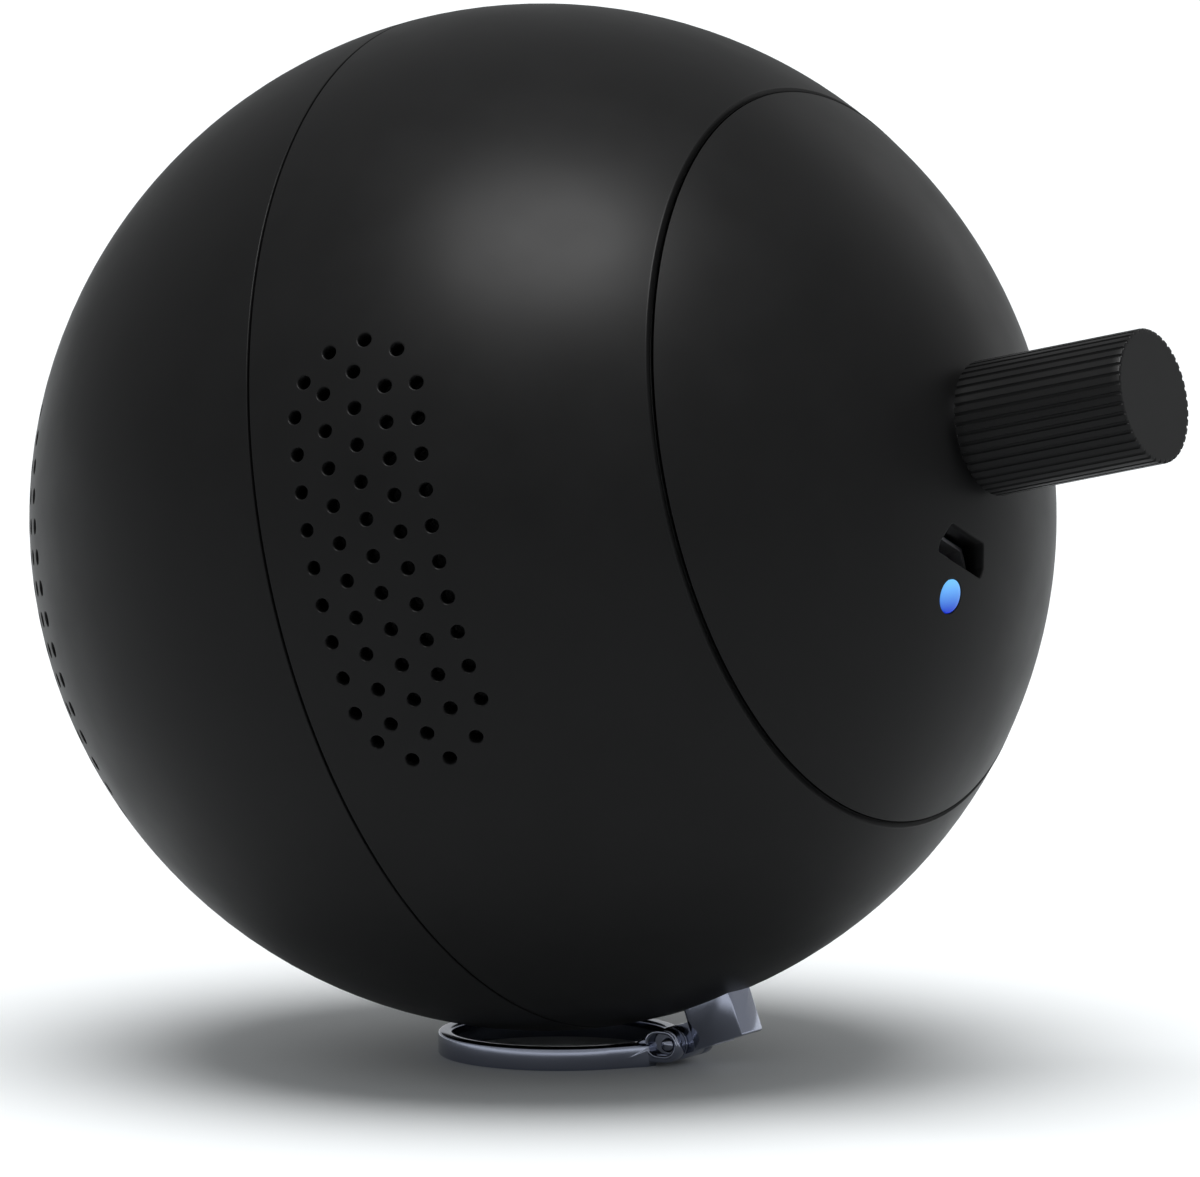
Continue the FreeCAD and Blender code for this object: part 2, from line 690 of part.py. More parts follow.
def make_radiator(name, side):
    turn = radiator_turn(side)
    seat = d.ball_radius - d.radiator_deep
    base_top = seat + d.radiator_base
    skin_radius = inner_radius - d.radiator_fit
    inner_long = d.collar_long - d.collar_wall
    inner_wide = d.collar_wide - d.collar_wall
    collar = track_prism(name + "_collar", d.collar_long, d.collar_wide, seat, d.ball_radius)
    track_hole(collar, name + "_collar_bore", inner_long, inner_wide, base_top)
    track_hole(collar, name + "_base_bore", inner_long - d.base_lip, inner_wide - d.base_lip, seat)
    ball = primitive("Sphere", name + "_collar_ball", Radius=skin_radius)
    frame = boolean("Common", name + "_radiator_frame", collar, ball)
    place_in_ball(frame, name + "_radiator_frame", turn)

    track = track_prism(name + "_mesh_track", inner_long - d.close_gap, inner_wide - d.close_gap,
                        seat, d.ball_radius)
    outer = primitive("Sphere", name + "_mesh_outer", Radius=skin_radius)
    inner = primitive("Sphere", name + "_mesh_inner", Radius=skin_radius - d.mesh_wall)
    skin = boolean("Cut", name + "_mesh_skin", outer, inner)
    mesh = boolean("Common", name + "_side_mesh", track, skin)
    place_in_ball(mesh, name + "_side_mesh", turn)

    edge = d.close_gap / 2
    surround = track_prism(name + "_radiator_surround", inner_long - edge, inner_wide - edge,
                           base_top, base_top + d.surround_wall)
    track_hole(surround, name + "_surround_bore", d.plate_long, d.plate_wide, base_top - d.cut_past)
    place_in_ball(surround, name + "_radiator_surround", turn)
    plate = track_prism(name + "_radiator_plate", d.plate_long, d.plate_wide, base_top,
                        base_top + d.plate_thick)
    place_in_ball(plate, name + "_radiator_plate", turn)


# ---------------------------------------------------------------- chassis, battery and board
chassis_back = d.ledge_height
chassis_front = chassis_back - d.chassis_thick
board_height = d.ball_radius - d.board_deep
board_back = board_height + d.board_thick
light_place = d.inlet_place + d.inlet_high / 2 + d.light_gap + d.light_radius


def make_chassis():
    chassis = turned("chassis", [
        (0, chassis_front), (chassis_radius, chassis_front), (chassis_radius, chassis_back),
        (0, chassis_back)])
    posts = around(d.post_circle, 4)
    pegs(chassis, "board_posts", posts, d.post_radius, chassis_back, board_height)
    bores(chassis, "post_pilots", posts, d.thread_radius, board_height - d.pilot_deep, d.pilot_deep)
    below = chassis_front - d.cut_past
    bores(chassis, "chassis_screw_holes", around(chassis_screw_circle, 4),
          d.thread_radius + d.screw_clearance, below)
    windows = [(0, -d.lead_window_place), (0, d.lead_window_place)]
    bores(chassis, "lead_windows", windows, d.lead_window, below)
    bores(chassis, "strap_pilots", strap_screw_places(), d.thread_radius, below)
    place_in_ball(chassis, "chassis")
    heads = screws("chassis_screws", around(chassis_screw_circle, 4), chassis_front, 1,
                   d.chassis_thick + d.ledge_thick)
    place_in_ball(heads, "chassis_screws")


def strap_screw_places():
    reach = d.battery_long / 2 + d.strap_wall + d.strap_foot / 2
    return [(-reach, 0), (reach, 0)]


def make_battery():
    half_long, half_wide = d.battery_long / 2, d.battery_wide / 2
    battery_back = chassis_front - d.battery_pad
    battery_front = battery_back - d.battery_thick
    battery = block("battery_pack", -half_long, half_long, -half_wide, half_wide,
                    battery_front, battery_back)
    place_in_ball(battery, "battery_pack")
    reach = half_long + d.strap_wall
    foot = reach + d.strap_foot
    low = battery_front - d.strap_wall
    body = new_body("battery_strap")
    sketch = new_sketch(body, "strap_profile", "XZ_Plane", -d.strap_wide / 2)
    outline(sketch, [
        (-foot, chassis_front), (-foot, chassis_front - d.strap_wall),
        (-reach, chassis_front - d.strap_wall), (-reach, low), (reach, low),
        (reach, chassis_front - d.strap_wall), (foot, chassis_front - d.strap_wall),
        (foot, chassis_front), (half_long, chassis_front), (half_long, battery_front),
        (-half_long, battery_front), (-half_long, chassis_front)])
    pad(body, sketch, d.strap_wide)
    bores(body, "strap_holes", strap_screw_places(), d.thread_radius + d.screw_clearance,
          chassis_front - d.strap_wall - d.cut_past)
    place_in_ball(body, "battery_strap")
    heads = screws("strap_screws", strap_screw_places(), chassis_front - d.strap_wall, 1,
                   d.strap_wall + d.chassis_thick)
    place_in_ball(heads, "strap_screws")


# Middle (x, y), half side and height of each chip on the board.
CHIPS = ((-12.0, 2.0, 3.0, 1.0), (10.5, -5.0, 2.5, 1.2), (0.0, -13.0, 3.5, 2.4), (-14.0, -6.0, 1.8, 3.0))


def make_board():
    board = turned("main_board", [
        (0, board_height), (d.board_radius, board_height), (d.board_radius, board_back),
        (0, board_back)])
    bores(board, "board_holes", around(d.post_circle, 4), d.thread_radius + d.screw_clearance,
          board_height - d.cut_past)
    place_in_ball(board, "main_board")
    heads = screws("board_screws", around(d.post_circle, 4), board_back, -1)
    place_in_ball(heads, "board_screws")
    chips = new_body("board_chips")
    chips.AllowCompound = True
    for k, (x, y, half, tall) in enumerate(CHIPS):
        add_block(chips, "chip_%d" % k, x - half, x + half, y - half, y + half,
                  board_back, board_back + tall)
    place_in_ball(chips, "board_chips")


def make_encoder():
    half = d.encoder_side / 2
    top = board_back + d.encoder_high
    housing = block("encoder_housing", -half, half, -half, half, board_back, top)
    hollow = d.encoder_high - 2 * d.encoder_wall
    bores(housing, "encoder_hollow", [(0, 0)], half - d.encoder_wall, board_back + d.encoder_wall, hollow)
    bores(housing, "encoder_mouth", [(0, 0)], d.shaft_radius + d.shaft_fit, top - 2 * d.encoder_wall)
    place_in_ball(housing, "encoder_housing")
    bushing = tube("encoder_bushing", d.shaft_radius + d.shaft_fit, d.bushing_radius, top,
                   top + d.bushing_high)
    place_in_ball(bushing, "encoder_bushing")
    spot = d.ball_radius - d.spot_face
    nut = tube("encoder_nut", d.bushing_radius, d.nut_radius, spot, spot + d.nut_high)
    place_in_ball(nut, "encoder_nut")
    rotor_low = board_back + d.encoder_wall + d.knob_travel
    rotor = tube("encoder_rotor", d.shaft_radius + d.shaft_fit / 2, d.rotor_radius, rotor_low,
                 rotor_low + d.rotor_high)
    place_in_ball(rotor, "encoder_rotor")
    shaft_end = knob_base + d.knob_recess_deep + d.shaft_grip
    shaft_low = rotor_low + d.close_gap
    shaft = turned("encoder_shaft", [
        (0, shaft_low), (d.shaft_radius, shaft_low), (d.shaft_radius, shaft_end), (0, shaft_end)])
    place_in_ball(shaft, "encoder_shaft")


def make_knob():
    radius, chamfer, recess = d.knob_radius, d.knob_chamfer, d.nut_radius + d.nut_gap
    recess_top = knob_base + d.knob_recess_deep
    bore_top = recess_top + d.shaft_grip
    knob = turned("knob", [
        (recess, knob_base), (radius - chamfer, knob_base), (radius, knob_base + chamfer),
        (radius, knob_end - chamfer), (radius - chamfer, knob_end), (0, knob_end), (0, bore_top),
        (d.shaft_radius, bore_top), (d.shaft_radius, recess_top), (recess, recess_top)])
    flute = new_sketch(knob, "knob_flute", "XY_Plane", knob_base - d.cut_past)
    circles(flute, [(radius, 0)], d.flute_radius)
    first = pocket(knob, flute, d.knob_length + 2 * d.cut_past)
    polar(knob, first, flute, d.flutes)
    place_in_ball(knob, "knob")


# ---------------------------------------------------------------- rear cap, inlet and light
def clock_turn():
    return FreeCAD.Rotation(V(0, 0, 1), -d.clock_angle.value)


def inlet_corners(grow):
    """Inlet outline round (0, inlet_place), its short side towards the ball's axis."""
    inner_side = d.inlet_place - d.inlet_high / 2 - grow
    outer_side = d.inlet_place + d.inlet_high / 2 + grow
    short, wide = d.inlet_short / 2 + grow, d.inlet_long / 2 + grow
    shoulder = d.inlet_place + d.inlet_shoulder
    return [(-short, inner_side), (short, inner_side), (wide, shoulder), (wide, outer_side),
            (-wide, outer_side), (-wide, shoulder)]


def make_rear_cap():
    low_face = d.cap_seam + d.seam_gap / 2
    rim_inner = across(d.ball_radius, d.cap_seam - d.seam_gap / 2) - d.cap_rim
    lip_outer = rim_inner - d.lip_fit
    lip_inner = lip_outer - d.cap_lip_wall
    lip_low = low_face - d.cap_lip_length
    spot = d.ball_radius - d.spot_face
    cap = turned("rear_cap", [
        (0, inner_radius),
        (lip_inner, across(inner_radius, lip_inner), 0),
        (lip_inner, lip_low),
        (lip_outer, lip_low),
        (lip_outer, low_face),
        (across(d.ball_radius, low_face), low_face),
        (across(d.ball_radius, spot), spot, 0),
        (0, spot)])
    bores(cap, "bushing_hole", [(0, 0)], d.bushing_radius + d.shaft_fit, 0)
    bores(cap, "light_hole", [(0, light_place)], d.light_radius + d.light_fit, 0)
    slot = new_sketch(cap, "inlet_slot")
    outline(slot, inlet_corners(0))
    pocket(cap, slot)
    place_in_ball(cap, "rear_cap", clock_turn())


def make_inlet():
    mouth = root(d.ball_radius * d.ball_radius - light_place * light_place) - d.socket_drop
    socket = new_body("usb_socket")
    sketch = new_sketch(socket, "socket_outline", "XY_Plane", board_back)
    outline(sketch, inlet_corners(-d.socket_fit))
    pad(socket, sketch, mouth - board_back)
    hollow = new_sketch(socket, "socket_hollow", "XY_Plane", board_back + d.socket_floor)
    outline(hollow, inlet_corners(-d.socket_fit - d.socket_wall))
    pocket(socket, hollow)
    place_in_ball(socket, "usb_socket", clock_turn())
    middle = d.inlet_place
    tongue = block("usb_tongue", -d.tongue_wide / 2, d.tongue_wide / 2, middle - d.tongue_thick / 2,
                   middle + d.tongue_thick / 2, board_back + d.socket_floor, mouth - d.tongue_inset)
    place_in_ball(tongue, "usb_tongue", clock_turn())

    half = d.led_side / 2
    led_top = board_back + d.led_high
    led = block("status_led", -half, half, light_place - half, light_place + half, board_back, led_top)
    place_in_ball(led, "status_led", clock_turn())
    guide = new_body("light_guide")
    surface = across(d.ball_radius, light_place)
    pegs(guide, "guide_stem", [(0, light_place)], d.light_radius, led_top + d.led_gap, surface)
    place_in_ball(guide, "light_guide", clock_turn())


# ---------------------------------------------------------------- wires
def wire(points, radius):
    """A round wire along straight runs joined by tangent arcs, with the arcs' radii."""
    edges = []
    radii = []
    start = points[0]
    for before, corner, after in zip(points, points[1:], points[2:]):
        into, out = (corner - before).normalize(), (after - corner).normalize()
        half_turn = into.getAngle(out) / 2
        setback = 0.45 * min((corner - before).Length, (after - corner).Length)
        first, last = corner - into * setback, corner + out * setback
        bulge = (out - into).normalize() * setback * math.tan(half_turn / 2)
        edges.append(Part.LineSegment(start, first).toShape())
        edges.append(Part.Arc(first, corner + bulge, last).toShape())
        radii.append(setback / math.tan(half_turn))
        start = last
    edges.append(Part.LineSegment(start, points[-1]).toShape())
    path = Part.Wire(edges)
    section = Part.Wire([Part.Circle(points[0], points[1] - points[0], radius).toShape()])
    return path.makePipeShell([section], True, True), radii


def make_wires(label, route):
    """A pair of wires side by side along X, their route given as (y, z) points of the ball frame."""
    pair = []
    for side in (-1, 1):
        offset = side * d.wire_spacing.value / 2
        points = [V(offset, y, z) for y, z in route]
        solid, radii = wire(points, d.wire_radius.value)
        pair.append(solid)
    wires = doc.addObject("Part::Feature", label)
    wires.Shape = Part.makeCompound(pair)
    place_in_ball(wires, label)
    print(label, "arc radii in mm:", ", ".join("%.2f" % radius for radius in radii))


def make_leads():
    side = 1.5 * d.terminal_thick.value - d.flange_radius.value
    back = flange_back.value + d.terminal_high.value
    window = d.lead_window_place.value
    board = board_height.value
    make_wires("speaker_leads", [
        (-20.0, board), (-20.0, board - 5.0), (0.6 - window, chassis_back.value - 1.0),
        (-1.9 - window, chassis_front.value - 7.0), (-3.6 - window, 1.5), (side, -11.5), (side, back)])
    edge = d.battery_wide.value / 2
    cell = chassis_front.value - d.battery_pad.value - d.battery_thick.value / 2
    make_wires("battery_leads", [
        (edge, cell), (edge + 3.6, cell), (window - 0.8, cell + 2.8), (window + 0.2, chassis_back.value),
        (window - 1.0, chassis_back.value + 5.0), (window - 4.4, board - 3.4), (window - 4.4, board)])


# ---------------------------------------------------------------- ring stand and hinge
def side_plate(body, label, corners, start, thick):
    """A plate drawn in the YZ plane, from 'start' along X."""
    sketch = new_sketch(body, label, "YZ_Plane", start)
    outline(sketch, corners)
    return pad(body, sketch, thick)


def side_disc(body, label, place, radius, start, thick):
    sketch = new_sketch(body, label, "YZ_Plane", start)
    circles(sketch, [place], radius)
    return pad(body, sketch, thick)


def ring_tangent(x, y):
    """Where the line from a point outside the ring touches the ring's outer face, on the +X side."""
    radius = d.ring_radius
    square = x * x + y * y
    reach = root(square - radius * radius)
    return ((radius * radius * x + radius * reach * y) / square,
            (radius * radius * y - radius * reach * x) / square)


def make_ring():
    ring = tube("ring_stand", d.ring_radius - d.ring_wall, d.ring_radius, 0, d.ring_high)
    pin_y = hinge_place - d.ring_place
    arm_start = d.ring_radius - d.ring_wall
    arm_low = d.pin_height - d.ear_radius
    ear_inner = d.knuckle_half + d.ear_gap
    tangent_x, tangent_y = ring_tangent(ear_inner + d.ear_thick, pin_y - d.ear_radius)
    share = (d.ring_radius - d.ring_wall / 2) / d.ring_radius
    for side, name in ((1, "right"), (-1, "left")):
        fairing = new_sketch(ring, name + "_fairing", "XY_Plane", 0)
        outline(fairing, [
            (side * tangent_x, tangent_y),
            (side * (ear_inner + d.ear_thick), pin_y - d.ear_radius),
            (side * ear_inner, pin_y - d.ear_radius),
            (side * ear_inner, arm_start),
            (side * tangent_x * share, tangent_y * share)])
        pad(ring, fairing, d.ring_high)
    for name, start in (("right", ear_inner), ("left", -ear_inner - d.ear_thick)):
        side_plate(ring, name + "_arm", [
            (arm_start, arm_low), (pin_y, arm_low), (pin_y, d.pin_height + d.ear_radius),
            (arm_start, d.ring_high)], start, d.ear_thick)
        side_disc(ring, name + "_ear", (pin_y, d.pin_height), d.ear_radius, start, d.ear_thick)
    bore = new_sketch(ring, "pin_bore", "YZ_Plane", -ear_inner - d.ear_thick)
    circles(bore, [(pin_y, d.pin_height)], d.pin_radius)
    pocket(ring, bore)
    place_in_stand(ring, "ring_stand", d.ring_place)

    reach = ear_inner + d.ear_thick - d.ear_recess_deep
    pin = new_body("hinge_pin")
    side_disc(pin, "pin", (hinge_place, d.pin_height), d.pin_radius, -reach, reach * 2)
    place_in_stand(pin, "hinge_pin")


def make_bracket():
    body = new_body("bracket_blank")
    pin = (hinge_place, d.pin_height)
    radius = d.ear_radius
    half = d.block_half
    side_disc(body, "knuckle", pin, radius, -d.knuckle_half, d.knuckle_half * 2)
    run = cosine(d.block_slope)
    rise = sine(d.block_slope)
    length = d.block_long / run
    deep = d.block_deep
    start = (block_start, d.block_bottom)
    end = (block_end, d.block_bottom + length * rise)
    side_plate(body, "block", [
        start, end, (end[0] - deep * rise, end[1] + deep * run),
        (start[0] - deep * rise, start[1] + deep * run)], -half, half * 2)
    web_low = (hinge_place + radius * rise, d.pin_height - radius * run)
    web_high = (hinge_place - radius * rise, d.pin_height + radius * run)
    side_plate(body, "web", [
        web_low, (web_low[0] + length * run, web_low[1] + length * rise),
        (web_high[0] + length * run, web_high[1] + length * rise), web_high], -half, half * 2)
    bore = new_sketch(body, "knuckle_bore", "YZ_Plane", -d.knuckle_half)
    circles(bore, [pin], d.pin_radius + d.pin_fit)
    pocket(body, bore)
    ball = primitive("Sphere", "bracket_saddle", Radius=d.ball_radius)
    bind(ball, "Placement.Base.z", ball_height)
    seated = boolean("Cut", "bracket_seated", body, ball)
    thread = drills("bracket_thread", [V(0, 0, 1)], d.thread_radius)
    thread.Placement = FreeCAD.Placement(V(0, 0, ball_height.value), bracket_screw_turn())
    bracket = boolean("Cut", "hinge_bracket", seated, thread)
    place_in_stand(bracket, "hinge_bracket")


def bracket_screw_turn():
    """Turns +Z to the bracket screw's direction in the row's own directions."""
    return FreeCAD.Rotation(V(1, 0, 0), 180 + bracket_screw_angle())


def make_bracket_screw():
    seat = inner_radius - d.close_gap
    body = screws("bracket_screw", [(0, 0)], seat, 1, d.shell_wall + d.thread_deep)
    body.Label = "bracket_screw"
    body.Placement = FreeCAD.Placement(V(0, ball_place.value, ball_height.value), bracket_screw_turn())
    NODES["bracket_screw"] = body


# ---------------------------------------------------------------- the whole speaker
make_front_shell()
make_cloth()
make_driver()
make_mid_shell()
for name, side in (("right", 1), ("left", -1)):
    make_radiator(name, side)
make_chassis()
make_battery()
make_board()
make_encoder()
make_knob()
make_rear_cap()
make_inlet()
make_leads()
make_ring()
make_bracket()
make_bracket_screw()
doc.recompute()

for thing in doc.Objects:
    if "Invalid" in thing.State or "Error" in thing.State:
        raise RuntimeError(thing.Label + " failed to build")
for node, thing in NODES.items():
    if thing.Shape.isNull() or not thing.Shape.isValid():
        raise RuntimeError(node + " has no valid shape")

os.makedirs("parts", exist_ok=True)
for node, thing in NODES.items():
    thing.Shape.exportStep("parts/%s.step" % node)
    box = thing.Shape.BoundBox
    print("%-24s %9.1f mm3  X %6.1f %6.1f  Y %6.1f %6.1f  Z %6.1f %6.1f" % (
        node, thing.Shape.Volume, box.XMin, box.XMax, box.YMin, box.YMax, box.ZMin, box.ZMax))
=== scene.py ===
import json
import math

import bmesh
import bpy
from mathutils import Matrix, Vector
from mathutils.geometry import delaunay_2d_cdt


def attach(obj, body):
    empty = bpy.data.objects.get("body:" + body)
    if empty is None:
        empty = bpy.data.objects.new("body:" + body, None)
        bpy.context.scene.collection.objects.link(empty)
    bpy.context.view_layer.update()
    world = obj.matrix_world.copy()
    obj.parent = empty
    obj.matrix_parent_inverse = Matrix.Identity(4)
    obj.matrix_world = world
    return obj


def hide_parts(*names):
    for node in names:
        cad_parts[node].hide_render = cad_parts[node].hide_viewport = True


# The looks of a ball-shaped wireless speaker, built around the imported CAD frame.
#
# Skins are worked out in the ball frame, in millimetres: origin at the ball's centre, +Z along
# the ball's own axis towards the knob, +X to the row's +X, +Y downwards. The ring stand is worked
# out in millimetres in the row's own directions, from the floor point under the ball's centre.

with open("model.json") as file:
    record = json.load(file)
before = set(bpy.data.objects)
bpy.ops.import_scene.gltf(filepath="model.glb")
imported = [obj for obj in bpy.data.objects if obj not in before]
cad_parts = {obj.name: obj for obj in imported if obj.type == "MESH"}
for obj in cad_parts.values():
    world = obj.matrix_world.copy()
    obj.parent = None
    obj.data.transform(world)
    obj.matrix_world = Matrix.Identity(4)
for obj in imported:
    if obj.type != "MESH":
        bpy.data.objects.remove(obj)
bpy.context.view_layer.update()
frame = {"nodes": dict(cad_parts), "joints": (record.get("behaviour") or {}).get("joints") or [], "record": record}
MM = 0.001
JOINTS = {joint["name"]: joint for joint in frame["joints"]}

# ---------------------------------------------------------------- places, from the frame
AXIS = Vector(JOINTS["knob_turn"]["axis"]).normalized()
CENTRE = Vector(JOINTS["knob_turn"]["pos_m"])
TILT = math.atan2(AXIS.z, AXIS.y)
PIN = Vector(JOINTS["ring_fold"]["pos_m"]) / MM
BALL_TO_ROW = (Matrix.Translation(CENTRE) @ Matrix.Rotation(TILT - math.pi / 2, 4, "X")
               @ Matrix.Scale(MM, 4))
ROW_MM = Matrix.Scale(MM, 4)

# ---------------------------------------------------------------- sizes in millimetres
BALL = 47.5
WALL = 2.2
SKIN = BALL - WALL
SEAM_GAP = 0.2
FRONT_SEAM = -1.7
CAP_SEAM = 32.9
RIM_ROUND = 0.14
SEAM_ROUND, CAP_SEAM_ROUND, CAP_ROUND = 0.1, 0.14, 0.25
FRONT_LIP, MID_LIP = BALL - 1.2, BALL - 1.1
SKIN_SPACING, CAP_SPACING = 1.8, 1.4
GRILLE_HOLE, GRILLE_EDGE, GRILLE_PITCH, GRILLE_ARC = 0.7, 41.3, 3.44, 3.5
SIDE_HOLE, SIDE_ANGLE, SIDE_COLUMN, SIDE_ROW = 0.65, 78.9, 3.6, 4.2
CLOCK = math.radians(26.5)
INLET_PLACE, INLET_LONG, INLET_SHORT, INLET_HIGH, INLET_CORNER = 11.5, 7.4, 5.5, 3.0, 0.35
LIGHT_PLACE, LIGHT_RADIUS, LIGHT_GAP = 15.9, 1.5, 0.04
SHAFT_HOLE = 3.55
KNOB_RADIUS, KNOB_LOW, KNOB_LONG = 6.25, 48.1, 17.6
KNOB_RECESS, KNOB_RECESS_DEEP = 4.9, 3.0
FLUTES, FLUTE_RADIUS = 42, 0.2
LIGHT_MIDDLE = BALL_TO_ROW @ Vector((LIGHT_PLACE * math.sin(CLOCK), LIGHT_PLACE * math.cos(CLOCK),
                                     math.sqrt(BALL * BALL - LIGHT_PLACE * LIGHT_PLACE)))
RING_RADIUS, RING_WALL, RING_HIGH, RING_ROUND = 11.25, 1.3, 2.2, 0.28
EAR_RADIUS, EAR_INNER, EAR_THICK = 1.6, 2.15, 1.3
EAR_OUTER = EAR_INNER + EAR_THICK
RECESS_LONG, RECESS_HIGH, RECESS_DEEP = 2.9, 2.1, 0.7
FLOOR_PLACE = CENTRE.y / MM
RING_PLACE = FLOOR_PLACE + 1.76


# ---------------------------------------------------------------- mesh helpers
def ball_point(polar, around, radius=BALL):
    flat = math.sin(polar) * radius
    return Vector((flat * math.cos(around), flat * math.sin(around), math.cos(polar) * radius))


def new_piece(name, points, faces, normals, to_row, body, replaced, material):
    """A mesh object with exact shading normals, riding on a body in place of a CAD node."""
    mesh = bpy.data.meshes.new(name)
    mesh.from_pydata([to_row @ p for p in points], [], faces)
    mesh.polygons.foreach_set("use_smooth", [True] * len(mesh.polygons))
    if normals:
        turn = to_row.to_3x3().normalized()
        mesh.normals_split_custom_set_from_vertices([(turn @ n).normalized() for n in normals])
    mesh.validate()
    piece = bpy.data.objects.new(name, mesh)
    bpy.context.scene.collection.objects.link(piece)
    mesh.materials.append(material)
    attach(piece, body)
    if replaced:
        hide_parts(*replaced)
    return piece


class Hole:
    """A hole through the skin along 'way': an outline in the plane across it, with a rounded rim."""

    def __init__(self, way, outline, rim=RIM_ROUND):
        self.way = way.normalized()
        helper = Vector((0, 0, 1)) if abs(self.way.z) < 0.9 else Vector((0, 1, 0))
        self.right = helper.cross(self.way).normalized()
        self.up = self.way.cross(self.right)
        self.outline = outline
        self.rim = rim

    def level(self, grow, depth, radius):
        """The hole's outline, grown outwards, on a ball of that radius, sunk by 'depth'."""
        points = []
        for x, y, out_x, out_y in self.outline:
            flat = self.right * (x + out_x * grow) + self.up * (y + out_y * grow)
            rise = math.sqrt(radius * radius - flat.length_squared) - depth
            points.append(flat + self.way * rise)
        return points

    def outward(self):
        return [self.right * out_x + self.up * out_y for _, _, out_x, out_y in self.outline]


def round_outline(radius, steps):
    """A circle, as (x, y, outward x, outward y)."""
    turns = [2 * math.pi * k / steps for k in range(steps)]
    return [(radius * math.cos(a), radius * math.sin(a), math.cos(a), math.sin(a)) for a in turns]


def polygon_outline(corners, corner_radius, steps=5):
    """A polygon (counter-clockwise) with rounded corners, as (x, y, outward x, outward y)."""
    points = []
    count = len(corners)
    for i in range(count):
        before, here, after = (Vector(corners[(i + k) % count]) for k in (-1, 0, 1))
        into, out = (here - before).normalized(), (after - here).normalized()
        turn = -into.angle_signed(out)
        setback = corner_radius * math.tan(abs(turn) / 2)
        start_normal = Vector((into.y, -into.x))
        centre = here - into * setback - start_normal * corner_radius
        for k in range(steps + 1):
            spin = Matrix.Rotation(turn * k / steps, 2)
            normal = spin @ start_normal
            place = centre + normal * corner_radius
            points.append((place.x, place.y, normal.x, normal.y))
    return points


